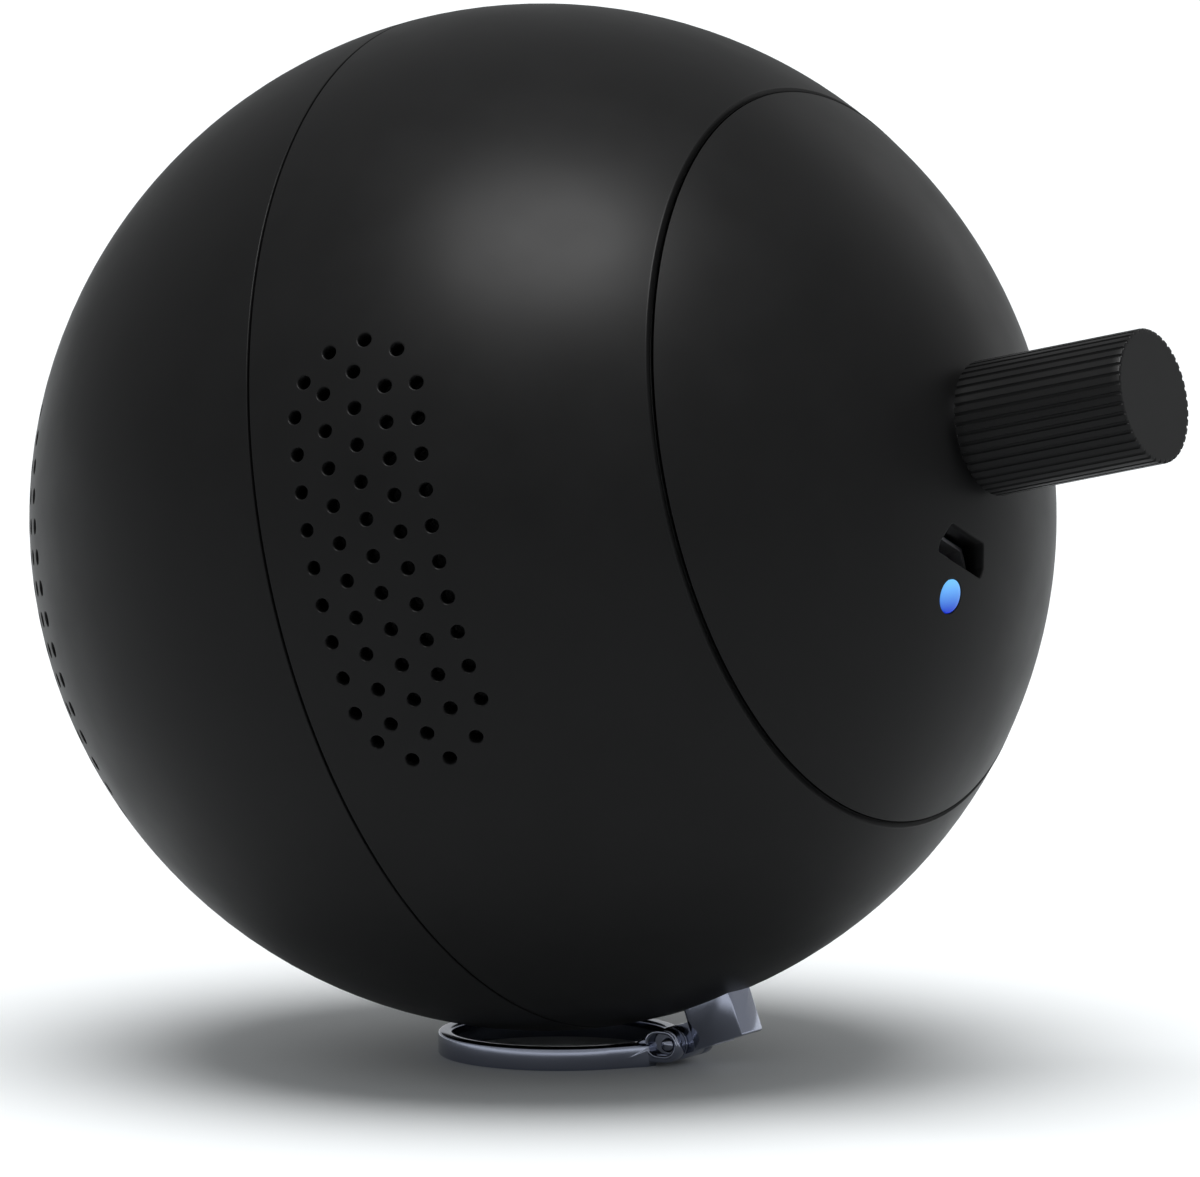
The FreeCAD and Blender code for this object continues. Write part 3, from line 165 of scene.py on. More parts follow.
class Skin:
    """Part of the ball's shell between two seams, pierced by holes: a closed mesh."""

    def __init__(self, pole, holes, spacing):
        self.pole = pole
        self.holes = holes
        self.spacing = spacing
        self.points, self.normals, self.faces = [], [], []

    def add(self, point, normal):
        self.points.append(point)
        self.normals.append(normal)
        return len(self.points) - 1

    def chart(self, point):
        """Flat map of the ball: distance from the pole along the surface, and the way round."""
        polar = math.acos(max(-1.0, min(1.0, point.z * self.pole / point.length)))
        around = math.atan2(point.y, point.x)
        return (polar * BALL * math.cos(around), polar * BALL * math.sin(around))

    def build(self, low, high):
        """'low' and 'high' are the polar angles of the skin's edges, measured from its pole."""
        flat, places, loops = [], [], []

        def keep(point):
            flat.append(Vector(self.chart(point)))
            places.append(point)
            return len(flat) - 1

        for hole in self.holes:
            loops.append([keep(p) for p in hole.level(hole.rim, 0, BALL)])
        edges = []
        for polar in (high,) + ((low,) if low > 0 else ()):
            count = max(24, round(2 * math.pi * BALL * math.sin(polar) / (0.6 * self.spacing)))
            ring = [self.ring_point(polar, k / count) for k in range(count)]
            edges.append([keep(p) for p in ring])
        centres = [(hole.level(0, 0, BALL), hole) for hole in self.holes]
        blocked = {}
        cell = 4.0
        for outline, hole in centres:
            middle = sum(outline, Vector()) / len(outline)
            reach = max((p - middle).length for p in outline) + hole.rim + 0.45 * self.spacing
            blocked.setdefault(tuple(int(c // cell) for c in middle), []).append((middle, reach))
        rows = round((high - low) * BALL / self.spacing)
        for row in range(0 if low == 0 else 1, rows):
            polar = low + (high - low) * row / rows
            count = max(1, round(2 * math.pi * BALL * math.sin(polar) / self.spacing))
            for k in range(count):
                point = self.ring_point(polar, (k + 0.5 * (row % 2)) / count)
                if not self.covered(point, blocked, cell):
                    keep(point)
        return self.mesh(flat, places, loops, edges, low)

    def ring_point(self, polar, part):
        point = ball_point(polar, 2 * math.pi * part)
        point.z *= self.pole
        return point

    def covered(self, point, blocked, cell):
        """Whether a point lies in or close to a hole, looked up by cells of a coarse grid."""
        home = [int(c // cell) for c in point]
        for dx in (-1, 0, 1):
            for dy in (-1, 0, 1):
                for dz in (-1, 0, 1):
                    near = (home[0] + dx, home[1] + dy, home[2] + dz)
                    for middle, reach in blocked.get(near, ()):
                        if (point - middle).length < reach:
                            return True
        return False

    def mesh(self, flat, places, loops, edges, low):
        constraints = []
        for loop in loops + edges:
            constraints += [(loop[k], loop[(k + 1) % len(loop)]) for k in range(len(loop))]
        verts, _, faces, origins, _, _ = delaunay_2d_cdt(flat, constraints, [], 0, 1e-5)
        back = [source[0] for source in origins]
        owner = {}
        for number, loop in enumerate(loops + edges[1:]):
            for k in loop:
                owner[k] = number
        outer = [self.add(p, p.normalized()) for p in places]
        inner = [self.add(p * (SKIN / BALL), -p.normalized()) for p in places]
        for loop, hole in zip(loops, self.holes):
            for k, point in zip(loop, hole.level(0, 0, SKIN)):
                self.points[inner[k]] = point
        for face in faces:
            trio = [back[k] for k in face]
            owners = {owner.get(k, -1) for k in trio}
            if len(owners) == 1 and -1 not in owners:
                continue
            a, b, c = (places[k] for k in trio)
            if (b - a).cross(c - a).dot(a + b + c) < 0:
                trio.reverse()
            self.faces.append([outer[k] for k in trio])
            self.faces.append([inner[k] for k in reversed(trio)])
        for loop, hole in zip(loops, self.holes):
            self.hole_wall([outer[k] for k in loop], [inner[k] for k in loop], hole)
        return outer, inner, edges

    def hole_wall(self, top, bottom, hole):
        outward = hole.outward()
        rows = [top]
        for step in (1, 2, 3):
            angle = math.pi / 6 * step
            grow = hole.rim * (1 - math.sin(angle))
            depth = hole.rim * (1 - math.cos(angle))
            ring = []
            for point, out in zip(hole.level(grow, depth, BALL), outward):
                normal = point.normalized() * math.cos(angle) - out * math.sin(angle)
                ring.append(self.add(point, normal))
            rows.append(ring)
        rows.append(bottom)
        for upper, lower in zip(rows, rows[1:]):
            self.strip(upper, lower)

    def strip(self, upper, lower):
        count = len(upper)
        for k in range(count):
            after = (k + 1) % count
            self.faces.append([upper[k], upper[after], lower[after], lower[k]])

    def edge_wall(self, top, bottom, profile):
        """Close a seam from the outer edge to the inner edge through (radius, height, normal) rows."""
        rows = [top]
        for radius, height, normal_out, normal_up in profile:
            ring = []
            for k in top:
                spoke = Vector((self.points[k].x, self.points[k].y, 0)).normalized()
                point = spoke * radius + Vector((0, 0, height))
                ring.append(self.add(point, spoke * normal_out + Vector((0, 0, normal_up))))
            rows.append(ring)
        rows.append(bottom)
        for upper, lower in zip(rows, rows[1:]):
            self.strip(upper, lower)


def fix_winding(piece):
    """Make every face point out of its closed mesh."""
    work = bmesh.new()
    work.from_mesh(piece.data)
    bmesh.ops.recalc_face_normals(work, faces=work.faces)
    work.to_mesh(piece.data)
    work.free()


def across(radius, height):
    """The other side of a right triangle: how far across a ball is at a height, or the reverse."""
    return math.sqrt(radius * radius - height * height)


# ---------------------------------------------------------------- materials
def node_material(name):
    material = bpy.data.materials.new(name)
    material.use_nodes = True
    return material, material.node_tree.nodes, material.node_tree.links


def place_coordinates(nodes, links, scale):
    """Object coordinates in millimetres, times 'scale'."""
    source = nodes.new("ShaderNodeTexCoord")
    mapping = nodes.new("ShaderNodeMapping")
    mapping.inputs["Scale"].default_value = (scale / MM,) * 3
    links.new(source.outputs["Object"], mapping.inputs["Vector"])
    return mapping.outputs["Vector"]


def noise(nodes, links, vector, scale, detail):
    texture = nodes.new("ShaderNodeTexNoise")
    texture.inputs["Scale"].default_value = scale
    texture.inputs["Detail"].default_value = detail
    texture.inputs["Roughness"].default_value = 0.55
    links.new(vector, texture.inputs["Vector"])
    return texture.outputs["Fac"]


def spread(nodes, links, factor, low, high):
    """Stretch the middle of a noise pattern to the range low..high."""
    node = nodes.new("ShaderNodeMapRange")
    node.inputs["From Min"].default_value = 0.3
    node.inputs["From Max"].default_value = 0.7
    node.inputs["To Min"].default_value = low
    node.inputs["To Max"].default_value = high
    links.new(factor, node.inputs["Value"])
    return node.outputs["Result"]


def blend_colours(nodes, links, factor, first, second):
    node = nodes.new("ShaderNodeMix")
    node.data_type = "RGBA"
    links.new(factor, node.inputs["Factor"])
    node.inputs["A"].default_value = (*first, 1)
    node.inputs["B"].default_value = (*second, 1)
    return node.outputs["Result"]


def bump(nodes, links, height, strength, distance):
    node = nodes.new("ShaderNodeBump")
    node.inputs["Strength"].default_value = strength
    node.inputs["Distance"].default_value = distance * MM
    links.new(height, node.inputs["Height"])
    return node.outputs["Normal"]


def grained(name, first, second, rough, grain, depth, metal=0.0, coat=0.0, level=0.5):
    """A surface with slow colour and gloss variation and a fine moulded or cast grain."""
    material, nodes, links = node_material(name)
    shader = nodes["Principled BSDF"]
    vector = place_coordinates(nodes, links, 1.0)
    slow = noise(nodes, links, vector, 0.12, 4.0)
    fine = noise(nodes, links, vector, grain, 2.0)
    links.new(blend_colours(nodes, links, slow, first, second), shader.inputs["Base Color"])
    links.new(spread(nodes, links, slow, rough[0], rough[1]), shader.inputs["Roughness"])
    links.new(bump(nodes, links, fine, depth, 0.02), shader.inputs["Normal"])
    shader.inputs["Metallic"].default_value = metal
    shader.inputs["Coat Weight"].default_value = coat
    shader.inputs["Specular IOR Level"].default_value = level
    return material


def woven(name, dark, light, pitch):
    """A fine cloth weave."""
    material, nodes, links = node_material(name)
    shader = nodes["Principled BSDF"]
    vector = place_coordinates(nodes, links, 1.0)
    waves = []
    for direction in ("X", "Z"):
        wave = nodes.new("ShaderNodeTexWave")
        wave.bands_direction = direction
        wave.inputs["Scale"].default_value = 1.0 / pitch
        wave.inputs["Distortion"].default_value = 0.6
        links.new(vector, wave.inputs["Vector"])
        waves.append(wave.outputs["Fac"])
    mix = nodes.new("ShaderNodeMath")
    mix.operation = "MULTIPLY"
    links.new(waves[0], mix.inputs[0])
    links.new(waves[1], mix.inputs[1])
    links.new(blend_colours(nodes, links, mix.outputs[0], dark, light), shader.inputs["Base Color"])
    links.new(bump(nodes, links, mix.outputs[0], 0.5, 0.1), shader.inputs["Normal"])
    shader.inputs["Roughness"].default_value = 0.95
    shader.inputs["Sheen Weight"].default_value = 0.2
    return material


def glowing_light(name, middle, reach):
    """A clear blue light guide that glows, deep blue below and paler towards the top of its face: the glow is its
    own, the paler top is a painted highlight.
    """
    material, nodes, links = node_material(name)
    shader = nodes["Principled BSDF"]
    source = nodes.new("ShaderNodeTexCoord")
    split = nodes.new("ShaderNodeSeparateXYZ")
    links.new(source.outputs["Object"], split.inputs["Vector"])
    climb = nodes.new("ShaderNodeMapRange")
    climb.inputs["From Min"].default_value = middle - reach
    climb.inputs["From Max"].default_value = middle + reach
    links.new(split.outputs["Z"], climb.inputs["Value"])
    height = climb.outputs["Result"]
    # Emitted and base colours both turn paler towards the top: a painted highlight over the guide's own glow.
    links.new(blend_colours(nodes, links, height, (0.0, 0.022, 0.50), (0.20, 0.60, 1.0)),
              shader.inputs["Emission Color"])
    links.new(blend_colours(nodes, links, height, (0.002, 0.01, 0.12), (0.01, 0.05, 0.25)),
              shader.inputs["Base Color"])
    shader.inputs["Roughness"].default_value = 0.2
    shader.inputs["Specular IOR Level"].default_value = 0.15
    shader.inputs["Emission Strength"].default_value = 0.95
    return material


MATERIALS = {
    "shell_black": grained("shell_black", (0.0085, 0.0085, 0.0086), (0.0110, 0.0110, 0.0112),
                           (0.38, 0.44), 5.0, 0.1, level=0.05),
    "knob_black": grained("knob_black", (0.0080, 0.0080, 0.0082), (0.0105, 0.0105, 0.0107),
                          (0.36, 0.44), 5.0, 0.12, level=0.08),
    # The chrome's colour is darker and bluer than bare chrome: a painted dark blue reflection, on the ring, pin
    # and bracket.
    "chrome": grained("chrome", (0.25, 0.27, 0.34), (0.32, 0.34, 0.42), (0.06, 0.12), 0.6, 0.03,
                      metal=1.0),
    "steel": grained("steel", (0.42, 0.43, 0.45), (0.5, 0.5, 0.52), (0.28, 0.4), 2.0, 0.15,
                     metal=1.0),
    "magnet": grained("magnet", (0.05, 0.05, 0.055), (0.08, 0.08, 0.085), (0.5, 0.65), 2.5, 0.3),
    "copper": grained("copper", (0.6, 0.24, 0.1), (0.72, 0.33, 0.16), (0.25, 0.38), 3.0, 0.3,
                      metal=1.0),
    "seal_rubber": grained("seal_rubber", (0.008, 0.008, 0.008), (0.013, 0.013, 0.013), (0.65, 0.8),
                           4.0, 0.2),
    "inner_plastic": grained("inner_plastic", (0.02, 0.02, 0.022), (0.03, 0.03, 0.032), (0.45, 0.6),
                             3.0, 0.2),
    "battery_wrap": grained("battery_wrap", (0.02, 0.08, 0.3), (0.03, 0.11, 0.38), (0.25, 0.35),
                            1.0, 0.1, coat=0.3),
    "board_green": grained("board_green", (0.01, 0.1, 0.04), (0.015, 0.14, 0.055), (0.3, 0.42),
                           1.5, 0.15, coat=0.3),
    "cloth_black": woven("cloth_black", (0.004, 0.004, 0.004), (0.02, 0.02, 0.021), 0.5),
    "paper_cone": woven("paper_cone", (0.02, 0.02, 0.022), (0.045, 0.045, 0.048), 0.8),
    "light_blue": glowing_light("light_blue", LIGHT_MIDDLE.z, LIGHT_RADIUS * MM),
}


# ---------------------------------------------------------------- ball shells
def seam_rows(edge_radius, height, toward, lip_radius, rounding):
    """Profile of a seam edge: rounded outer corner, then the flat face in to the lip."""
    rows = []
    for step in (1, 2, 3, 4):
        angle = math.pi / 8 * step
        rows.append((edge_radius - rounding * (1 - math.cos(angle)),
                     height - toward * rounding * (1 - math.sin(angle)),
                     math.cos(angle), toward * math.sin(angle)))
    rows.append((lip_radius, height, 0.0, toward))
    return rows


def shell_piece(node, skin):
    """The finished skin, in place of the CAD node."""
    return new_piece(node + "_skin", skin.points, skin.faces, skin.normals, BALL_TO_ROW, "housing",
                     [node], MATERIALS["shell_black"])


def make_front_shell():
    """The front shell, with rings of grille holes round its pole."""
    ways = [ball_point(math.pi, 0)]
    rings = round(GRILLE_EDGE / GRILLE_PITCH)
    for ring in range(1, rings + 1):
        polar = math.radians(GRILLE_EDGE * ring / rings)
        count = round(360 * math.sin(polar) / GRILLE_ARC)
        ways += [ball_point(math.pi - polar, 2 * math.pi * k / count) for k in range(count)]
    skin = Skin(-1, [Hole(way, round_outline(GRILLE_HOLE, 16)) for way in ways], SKIN_SPACING)
    face = FRONT_SEAM - SEAM_GAP / 2
    edge = math.pi - math.acos((face - SEAM_ROUND) / BALL)
    outer, inner, edges = skin.build(0, edge)
    edge_radius = across(BALL, face - SEAM_ROUND)
    rows = seam_rows(edge_radius, face, 1, FRONT_LIP, SEAM_ROUND)
    lip_top = face + 3.3
    rows += [(FRONT_LIP, lip_top, 1, 0), (BALL - 2.3, lip_top, -1, 1)]
    skin.edge_wall([outer[k] for k in edges[0]], [inner[k] for k in edges[0]], rows)
    return shell_piece("front_shell", skin)


def side_ways():
    """The directions of the side holes: five staggered columns and four holes beyond each end."""
    pattern = []
    for k, count in enumerate((10, 10, 11, 10, 9)):
        for j in range(count):
            pattern.append((SIDE_ANGLE + (k - 2) * SIDE_COLUMN, (j - (count - 1) / 2) * SIDE_ROW))
    for offset, place in ((-1.4, 5.5), (-0.35, 5.86), (0.8, 5.62), (1.65, 4.9)):
        pattern += [(SIDE_ANGLE + offset * SIDE_COLUMN, side * place * SIDE_ROW) for side in (-1, 1)]
    return [ball_point(math.radians(polar), math.radians(turn + around))
            for turn in (0, 180) for polar, around in pattern]


def make_mid_shell():
    """The mid shell, between the two seams, with a pad of holes on each side."""
    skin = Skin(1, [Hole(way, round_outline(SIDE_HOLE, 20)) for way in side_ways()], SKIN_SPACING)
    front, rear = FRONT_SEAM + SEAM_GAP / 2, CAP_SEAM - SEAM_GAP / 2
    low = math.acos((rear - CAP_SEAM_ROUND) / BALL)
    high = math.acos((front + SEAM_ROUND) / BALL)
    outer, inner, edges = skin.build(low, high)
    rows = seam_rows(across(BALL, front + SEAM_ROUND), front, -1, MID_LIP, SEAM_ROUND)
    skin.edge_wall([outer[k] for k in edges[0]], [inner[k] for k in edges[0]], rows)
    rim = across(BALL, rear) - 1.8
    rows = seam_rows(across(BALL, rear - CAP_SEAM_ROUND), rear, 1, rim, CAP_SEAM_ROUND)
    rows += [(rim, rear - 3.4, -1, 0)]
    skin.edge_wall([outer[k] for k in edges[1]], [inner[k] for k in edges[1]], rows)
    return shell_piece("mid_shell", skin)


def clocked(x, y):
    """A place on the rear cap, from its place across and away from the axis at the inlet's clocking."""
    return (x * math.cos(CLOCK) + y * math.sin(CLOCK), -x * math.sin(CLOCK) + y * math.cos(CLOCK))


def inlet_corners():
    """The inlet's outline, counter-clockwise seen from +Z, in the cap's own directions."""
    low, high = INLET_PLACE - INLET_HIGH / 2, INLET_PLACE + INLET_HIGH / 2
    short, wide = INLET_SHORT / 2, INLET_LONG / 2
    shoulder = INLET_PLACE + INLET_HIGH / 6
    corners = [(-short, low), (short, low), (wide, shoulder),
               (wide, high), (-wide, high), (-wide, shoulder)]
    return [clocked(x, y) for x, y in corners]


def axial_hole(outline, rim):
    """A hole along the ball's axis whose outline is given in X and Y."""
    hole = Hole(Vector((0, 0, 1)), outline, rim)
    hole.right, hole.up = Vector((1, 0, 0)), Vector((0, 1, 0))
    return hole


def make_rear_cap():
    """The rear cap, with the inlet, the light's hole and the shaft's hole."""
    x, y = clocked(0, LIGHT_PLACE)
    light = [(x + px, y + py, nx, ny)
             for px, py, nx, ny in round_outline(LIGHT_RADIUS + LIGHT_GAP, 40)]
    holes = [axial_hole(polygon_outline(inlet_corners(), INLET_CORNER), 0.12),
             axial_hole(light, 0.1),
             axial_hole(round_outline(SHAFT_HOLE, 48), 0.1)]
    skin = Skin(1, holes, CAP_SPACING)
    face = CAP_SEAM + SEAM_GAP / 2
    outer, inner, edges = skin.build(0, math.acos((face + CAP_ROUND) / BALL))
    edge_radius = across(BALL, face + CAP_ROUND)
    lip = across(BALL, CAP_SEAM - SEAM_GAP / 2) - 1.9
    bulge = across(BALL, face) - 0.12
    rows = []
    for step in (1, 2, 3, 4, 5):
        side = math.radians(90) * (step / 5)
        rows.append((edge_radius + (bulge - edge_radius) * math.sin(side),
                     face + CAP_ROUND * math.cos(side),
                     math.cos(math.radians(45) - side), math.sin(math.radians(45) - side)))
    rows += [(bulge - 0.35, face, 0, -1), (lip, face, 0, -1), (lip, face - 3.5, 1, 0),
             (lip - 1.2, face - 3.5, -1, -1)]
    skin.edge_wall([outer[k] for k in edges[0]], [inner[k] for k in edges[0]], rows)
    return shell_piece("rear_cap", skin)


# ---------------------------------------------------------------- knob
def flute_depth(along):
    """How deep a flute is, at a distance along the rim from its middle."""
    return math.sqrt(max(0.0, FLUTE_RADIUS * FLUTE_RADIUS - along * along))


def make_knob():
    """The fluted knob. Each row is a height, an inset from its radius, and a share of the flutes' depth."""
    pitch = 2 * math.pi * KNOB_RADIUS / FLUTES
    stations = (-0.25, -0.2, -0.19, -0.14, -0.07, 0.0, 0.07, 0.14, 0.19, 0.2, 0.25, pitch / 2)
    high = KNOB_LOW + KNOB_LONG
    rows = [(KNOB_LOW, 0.42, 0.0), (KNOB_LOW, 0.16, 1.0), (KNOB_LOW + 0.05, 0.05, 1.0),
            (KNOB_LOW + 0.16, 0.0, 1.0), (KNOB_LOW + 1.0, 0.0, 1.0), (high - 1.0, 0.0, 1.0),
            (high - 0.16, 0.0, 1.0), (high - 0.05, 0.05, 1.0), (high, 0.16, 1.0),
            (high, 0.42, 0.0), (high, 0.6, 0.0), (high, 2.4, 0.0), (high, 4.8, 0.0)]
    points, faces = [], []
    count = FLUTES * len(stations)
    for height, inset, share in rows:
        for flute in range(FLUTES):
            for along in stations:
                angle = (flute * pitch + along) / KNOB_RADIUS
                radius = KNOB_RADIUS - inset - share * flute_depth(along)
                points.append(Vector((radius * math.cos(angle), radius * math.sin(angle), height)))
    for height in (KNOB_LOW, KNOB_LOW + KNOB_RECESS_DEEP):
        for k in range(count):
            angle = math.atan2(points[k].y, points[k].x)
            points.append(Vector((KNOB_RECESS * math.cos(angle), KNOB_RECESS * math.sin(angle), height)))
    total = len(rows)

    def join(lower, upper):
        for k in range(count):
            after = (k + 1) % count
            faces.append([lower * count + k, lower * count + after,
                          upper * count + after, upper * count + k])

    for row in range(total - 1):
        join(row, row + 1)
    join(total, 0)
    join(total + 1, total)
    faces.append([(total - 1) * count + k for k in range(count)])
    faces.append([(total + 1) * count + k for k in reversed(range(count))])
    piece = new_piece("knob_fluted", points, faces, None, BALL_TO_ROW, "knob_and_shaft",
                      ["knob"], MATERIALS["knob_black"])
    fix_winding(piece)
    set_smooth_by_angle(piece, 40)
    return piece


def set_smooth_by_angle(piece, degrees):
    work = bmesh.new()
    work.from_mesh(piece.data)
    limit = math.radians(degrees)
    for edge in work.edges:
        edge.smooth = not (len(edge.link_faces) == 2 and edge.calc_face_angle(0) > limit)
    work.to_mesh(piece.data)
    work.free()


# ---------------------------------------------------------------- light
def make_light():
    """The blue light guide: a round stem along the ball's axis that ends flush with the cap.

    Each row is a radius, a height, and whether that height is counted from the ball's surface.
    """
    x, y = clocked(0, LIGHT_PLACE)
    rows = [(1.44, 37.0, 0), (1.49, 37.05, 0), (1.49, -0.10, 1), (1.46, -0.04, 1), (1.40, -0.01, 1),
            (0.9, 0.0, 1), (0.4, 0.0, 1)]
    points, faces = [], []
    steps = 48
    for radius, height, flush in rows:
        for k in range(steps):
            angle = 2 * math.pi * k / steps
            px, py = x + radius * math.cos(angle), y + radius * math.sin(angle)
            points.append(Vector((px, py, height + flush * across(BALL, math.hypot(px, py)))))
    count = len(points) // steps
    for row in range(count - 1):
        for k in range(steps):
            after = (k + 1) % steps
            faces.append([row * steps + k, row * steps + after,
                          (row + 1) * steps + after, (row + 1) * steps + k])
    faces.append(list(reversed(range(steps))))
    faces.append([(count - 1) * steps + k for k in range(steps)])
    piece = new_piece("light_guide_dome", points, faces, None, BALL_TO_ROW, "housing",
                      ["light_guide"], MATERIALS["light_blue"])
    fix_winding(piece)
    return piece


# ---------------------------------------------------------------- chrome stand, in row millimetres
def solid(points, faces):
    """A bare mesh object in millimetres, for shaping before it becomes a piece."""
    mesh = bpy.data.meshes.new("shaping")
    mesh.from_pydata(points, [], faces)
    thing = bpy.data.objects.new("shaping", mesh)
    bpy.context.scene.collection.objects.link(thing)
    fix_winding(thing)
    return thing


def prism(outline, start, thick):
    """An outline in Y and Z pushed along X."""
    count = len(outline)
    points = [Vector((x, y, z)) for x in (start, start + thick) for y, z in outline]
    faces = [[k, (k + 1) % count, count + (k + 1) % count, count + k] for k in range(count)]
    faces += [list(reversed(range(count))), [count + k for k in range(count)]]
    return solid(points, faces)


def bevelled(thing, width, limit=35):
    modifier = thing.modifiers.new("bevel", "BEVEL")
    modifier.width = width
    modifier.segments = 2
    modifier.limit_method = "ANGLE"
    modifier.angle_limit = math.radians(limit)
    modifier.use_clamp_overlap = True
    return settled(thing)


def combined(base, tool, operation):
    modifier = base.modifiers.new("join", "BOOLEAN")
    modifier.operation = operation
    modifier.solver = "EXACT"
    modifier.object = tool
    settled(base)
    bpy.data.objects.remove(tool)
    return base


def settled(thing):
    """Apply the modifiers of a thing."""
    bpy.context.view_layer.update()
    ready = thing.evaluated_get(bpy.context.evaluated_depsgraph_get())
    shape = bpy.data.meshes.new_from_object(ready)
    thing.modifiers.clear()
    thing.data = shape
    return thing


def finished(thing, name, body, slot, replaced):
    """Turn a shaped solid into a piece of the speaker."""
    mesh = thing.data
    points = [v.co.copy() for v in mesh.vertices]
    faces = [list(p.vertices) for p in mesh.polygons]
    bpy.data.objects.remove(thing)
    piece = new_piece(name, points, faces, None, ROW_MM, body, replaced, MATERIALS[slot])
    set_smooth_by_angle(piece, 35)
    return piece


def arc_points(centre, radius, first, last, steps):
    return [(centre[0] + radius * math.cos(math.radians(first + (last - first) * k / steps)),
             centre[1] + radius * math.sin(math.radians(first + (last - first) * k / steps)))
            for k in range(steps + 1)]


def lathe(profile, centre, steps=160):
    """A ring turned about a vertical axis from a closed profile of (radius, height)."""
    points, faces = [], []
    count = len(profile)
    for k in range(steps):
        angle = 2 * math.pi * k / steps
        for radius, height in profile:
            points.append(Vector((centre[0] + radius * math.cos(angle),
                                  centre[1] + radius * math.sin(angle), height)))
    for k in range(steps):
        for j in range(count):
            after, above = (k + 1) % steps, (j + 1) % count
            faces.append([k * count + j, after * count + j, after * count + above, k * count + above])
    return solid(points, faces)


def ring_profile():
    """The ring's section: a flat band with rounded edges."""
    inner, outer = RING_RADIUS - RING_WALL + RING_ROUND, RING_RADIUS - RING_ROUND
    low, high = RING_ROUND, RING_HIGH - RING_ROUND
    profile = []
    for middle, first in (((outer, low), -90), ((outer, high), 0), ((inner, high), 90), ((inner, low), 180)):
        profile += arc_points(middle, RING_ROUND, first, first + 90, 4)
    return profile


def recess_outline(grow=0.0):
    """The ear's recess, a slot with round ends in Y and Z, its long side along Y."""
    y, z = PIN.y - 0.35, PIN.z + 0.08
    radius = RECESS_HIGH / 2
    reach = RECESS_LONG / 2 - radius
    right = arc_points((y + reach, z), radius + grow, -90, 90, 8)
    left = arc_points((y - reach, z), radius + grow, 90, 270, 8)
    return right + left


def rim_bead(face, side):
    """A raised bead round the recess. Each row is how far it stands out from it and above the face."""
    rows = [(-0.05, -0.1), (-0.05, 0.02), (0.02, 0.09), (0.12, 0.12), (0.22, 0.09), (0.28, 0.0),
            (0.28, -0.1)]
    points, faces = [], []
    for grow, lift in rows:
        points += [Vector((face + side * lift, y, z)) for y, z in recess_outline(grow)]
    total = len(rows)
    count = len(points) // total
    for row in range(total):
        below = (row + 1) % total
        for k in range(count):
            after = (k + 1) % count
            faces.append([row * count + k, row * count + after,
                          below * count + after, below * count + k])
    return solid(points, faces)


def make_fairing(side):
    """The flat that runs from the ring's outer face, where it is tangent, to the front of an ear."""
    tip = Vector((EAR_OUTER, PIN.y - EAR_RADIUS - RING_PLACE))
    reach = math.sqrt(tip.length_squared - RING_RADIUS ** 2)
    aside = Vector((tip.y, -tip.x))
    touch = (tip * RING_RADIUS + aside * reach) * (RING_RADIUS / tip.length_squared)
    inside = touch * ((RING_RADIUS - RING_WALL / 2) / RING_RADIUS)
    rest = [Vector((EAR_INNER, tip.y)), Vector((EAR_INNER, RING_RADIUS - RING_WALL)), inside]
    count = 2 + len(rest)
    outward = tip.normalized()
    rounding = arc_points((0.0, RING_ROUND), RING_ROUND, -90, 0, 4)
    rounding += arc_points((0.0, RING_HIGH - RING_ROUND), RING_ROUND, 0, 90, 4)
    points = []
    for out, z in rounding:
        pull = outward * (out - RING_ROUND)
        points += [Vector((side * p.x, p.y + RING_PLACE, z)) for p in [touch + pull, tip + pull] + rest]
    faces = []
    for row in range(len(rounding) - 1):
        low, high = row * count, (row + 1) * count
        faces += [[low + k, low + (k + 1) % count, high + (k + 1) % count, high + k]
                  for k in range(count)]
    last = (len(rounding) - 1) * count
    faces += [list(reversed(range(count))), [last + k for k in range(count)]]
    return solid(points, faces)


def make_ring():
    """The ring, its two hinge ears with their recesses and beads, and the flats that lead to them."""
    ring = lathe(ring_profile(), (0.0, RING_PLACE))
    pin_y, pin_z = PIN.y, PIN.z
    start = RING_PLACE + RING_RADIUS - RING_WALL - 0.1
    low = pin_z - EAR_RADIUS
    for side in (1, -1):
        outline = [(start, low), (pin_y - 1.0, low)]
        outline += arc_points((pin_y, pin_z), EAR_RADIUS, -90, 90, 14)
        outline += [(start + 0.8, RING_HIGH + 0.35), (start, RING_HIGH - 0.1)]
        first = EAR_INNER if side > 0 else -EAR_OUTER
        ear = bevelled(prism(outline, first, EAR_THICK), 0.16)
        face = side * EAR_OUTER
        past = 0.5
        cut = prism(recess_outline(), min(face + side * past, face - side * RECESS_DEEP),
                    past + RECESS_DEEP)
        combined(ear, cut, "DIFFERENCE")
        combined(ring, ear, "UNION")
        combined(ring, make_fairing(side), "UNION")
        combined(ring, rim_bead(face, side), "UNION")
    finished(ring, "ring_stand_chrome", "ring", "chrome", ["ring_stand"])


def make_pin():
    """The hinge pin: domed ends that show inside the ears' recesses."""
    reach = EAR_OUTER - 0.4
    points, faces = [], []
    rows = [(-reach, 0.45), (-reach + 0.1, 0.62), (-reach + 0.3, 0.69),
            (reach - 0.3, 0.69), (reach - 0.1, 0.62), (reach, 0.45)]
    steps = 32
    for x, radius in rows:
        for k in range(steps):
            angle = 2 * math.pi * k / steps
            points.append(Vector((x, PIN.y + radius * math.cos(angle),
                                  PIN.z + radius * math.sin(angle))))
    for row in range(len(rows) - 1):
        for k in range(steps):
            after = (k + 1) % steps
            faces.append([row * steps + k, row * steps + after,
                          (row + 1) * steps + after, (row + 1) * steps + k])
    faces.append(list(range(steps)))
    faces.append([(len(rows) - 1) * steps + k for k in range(steps)])
    finished(solid(points, faces), "hinge_pin_domed", "ring", "chrome", ["hinge_pin"])


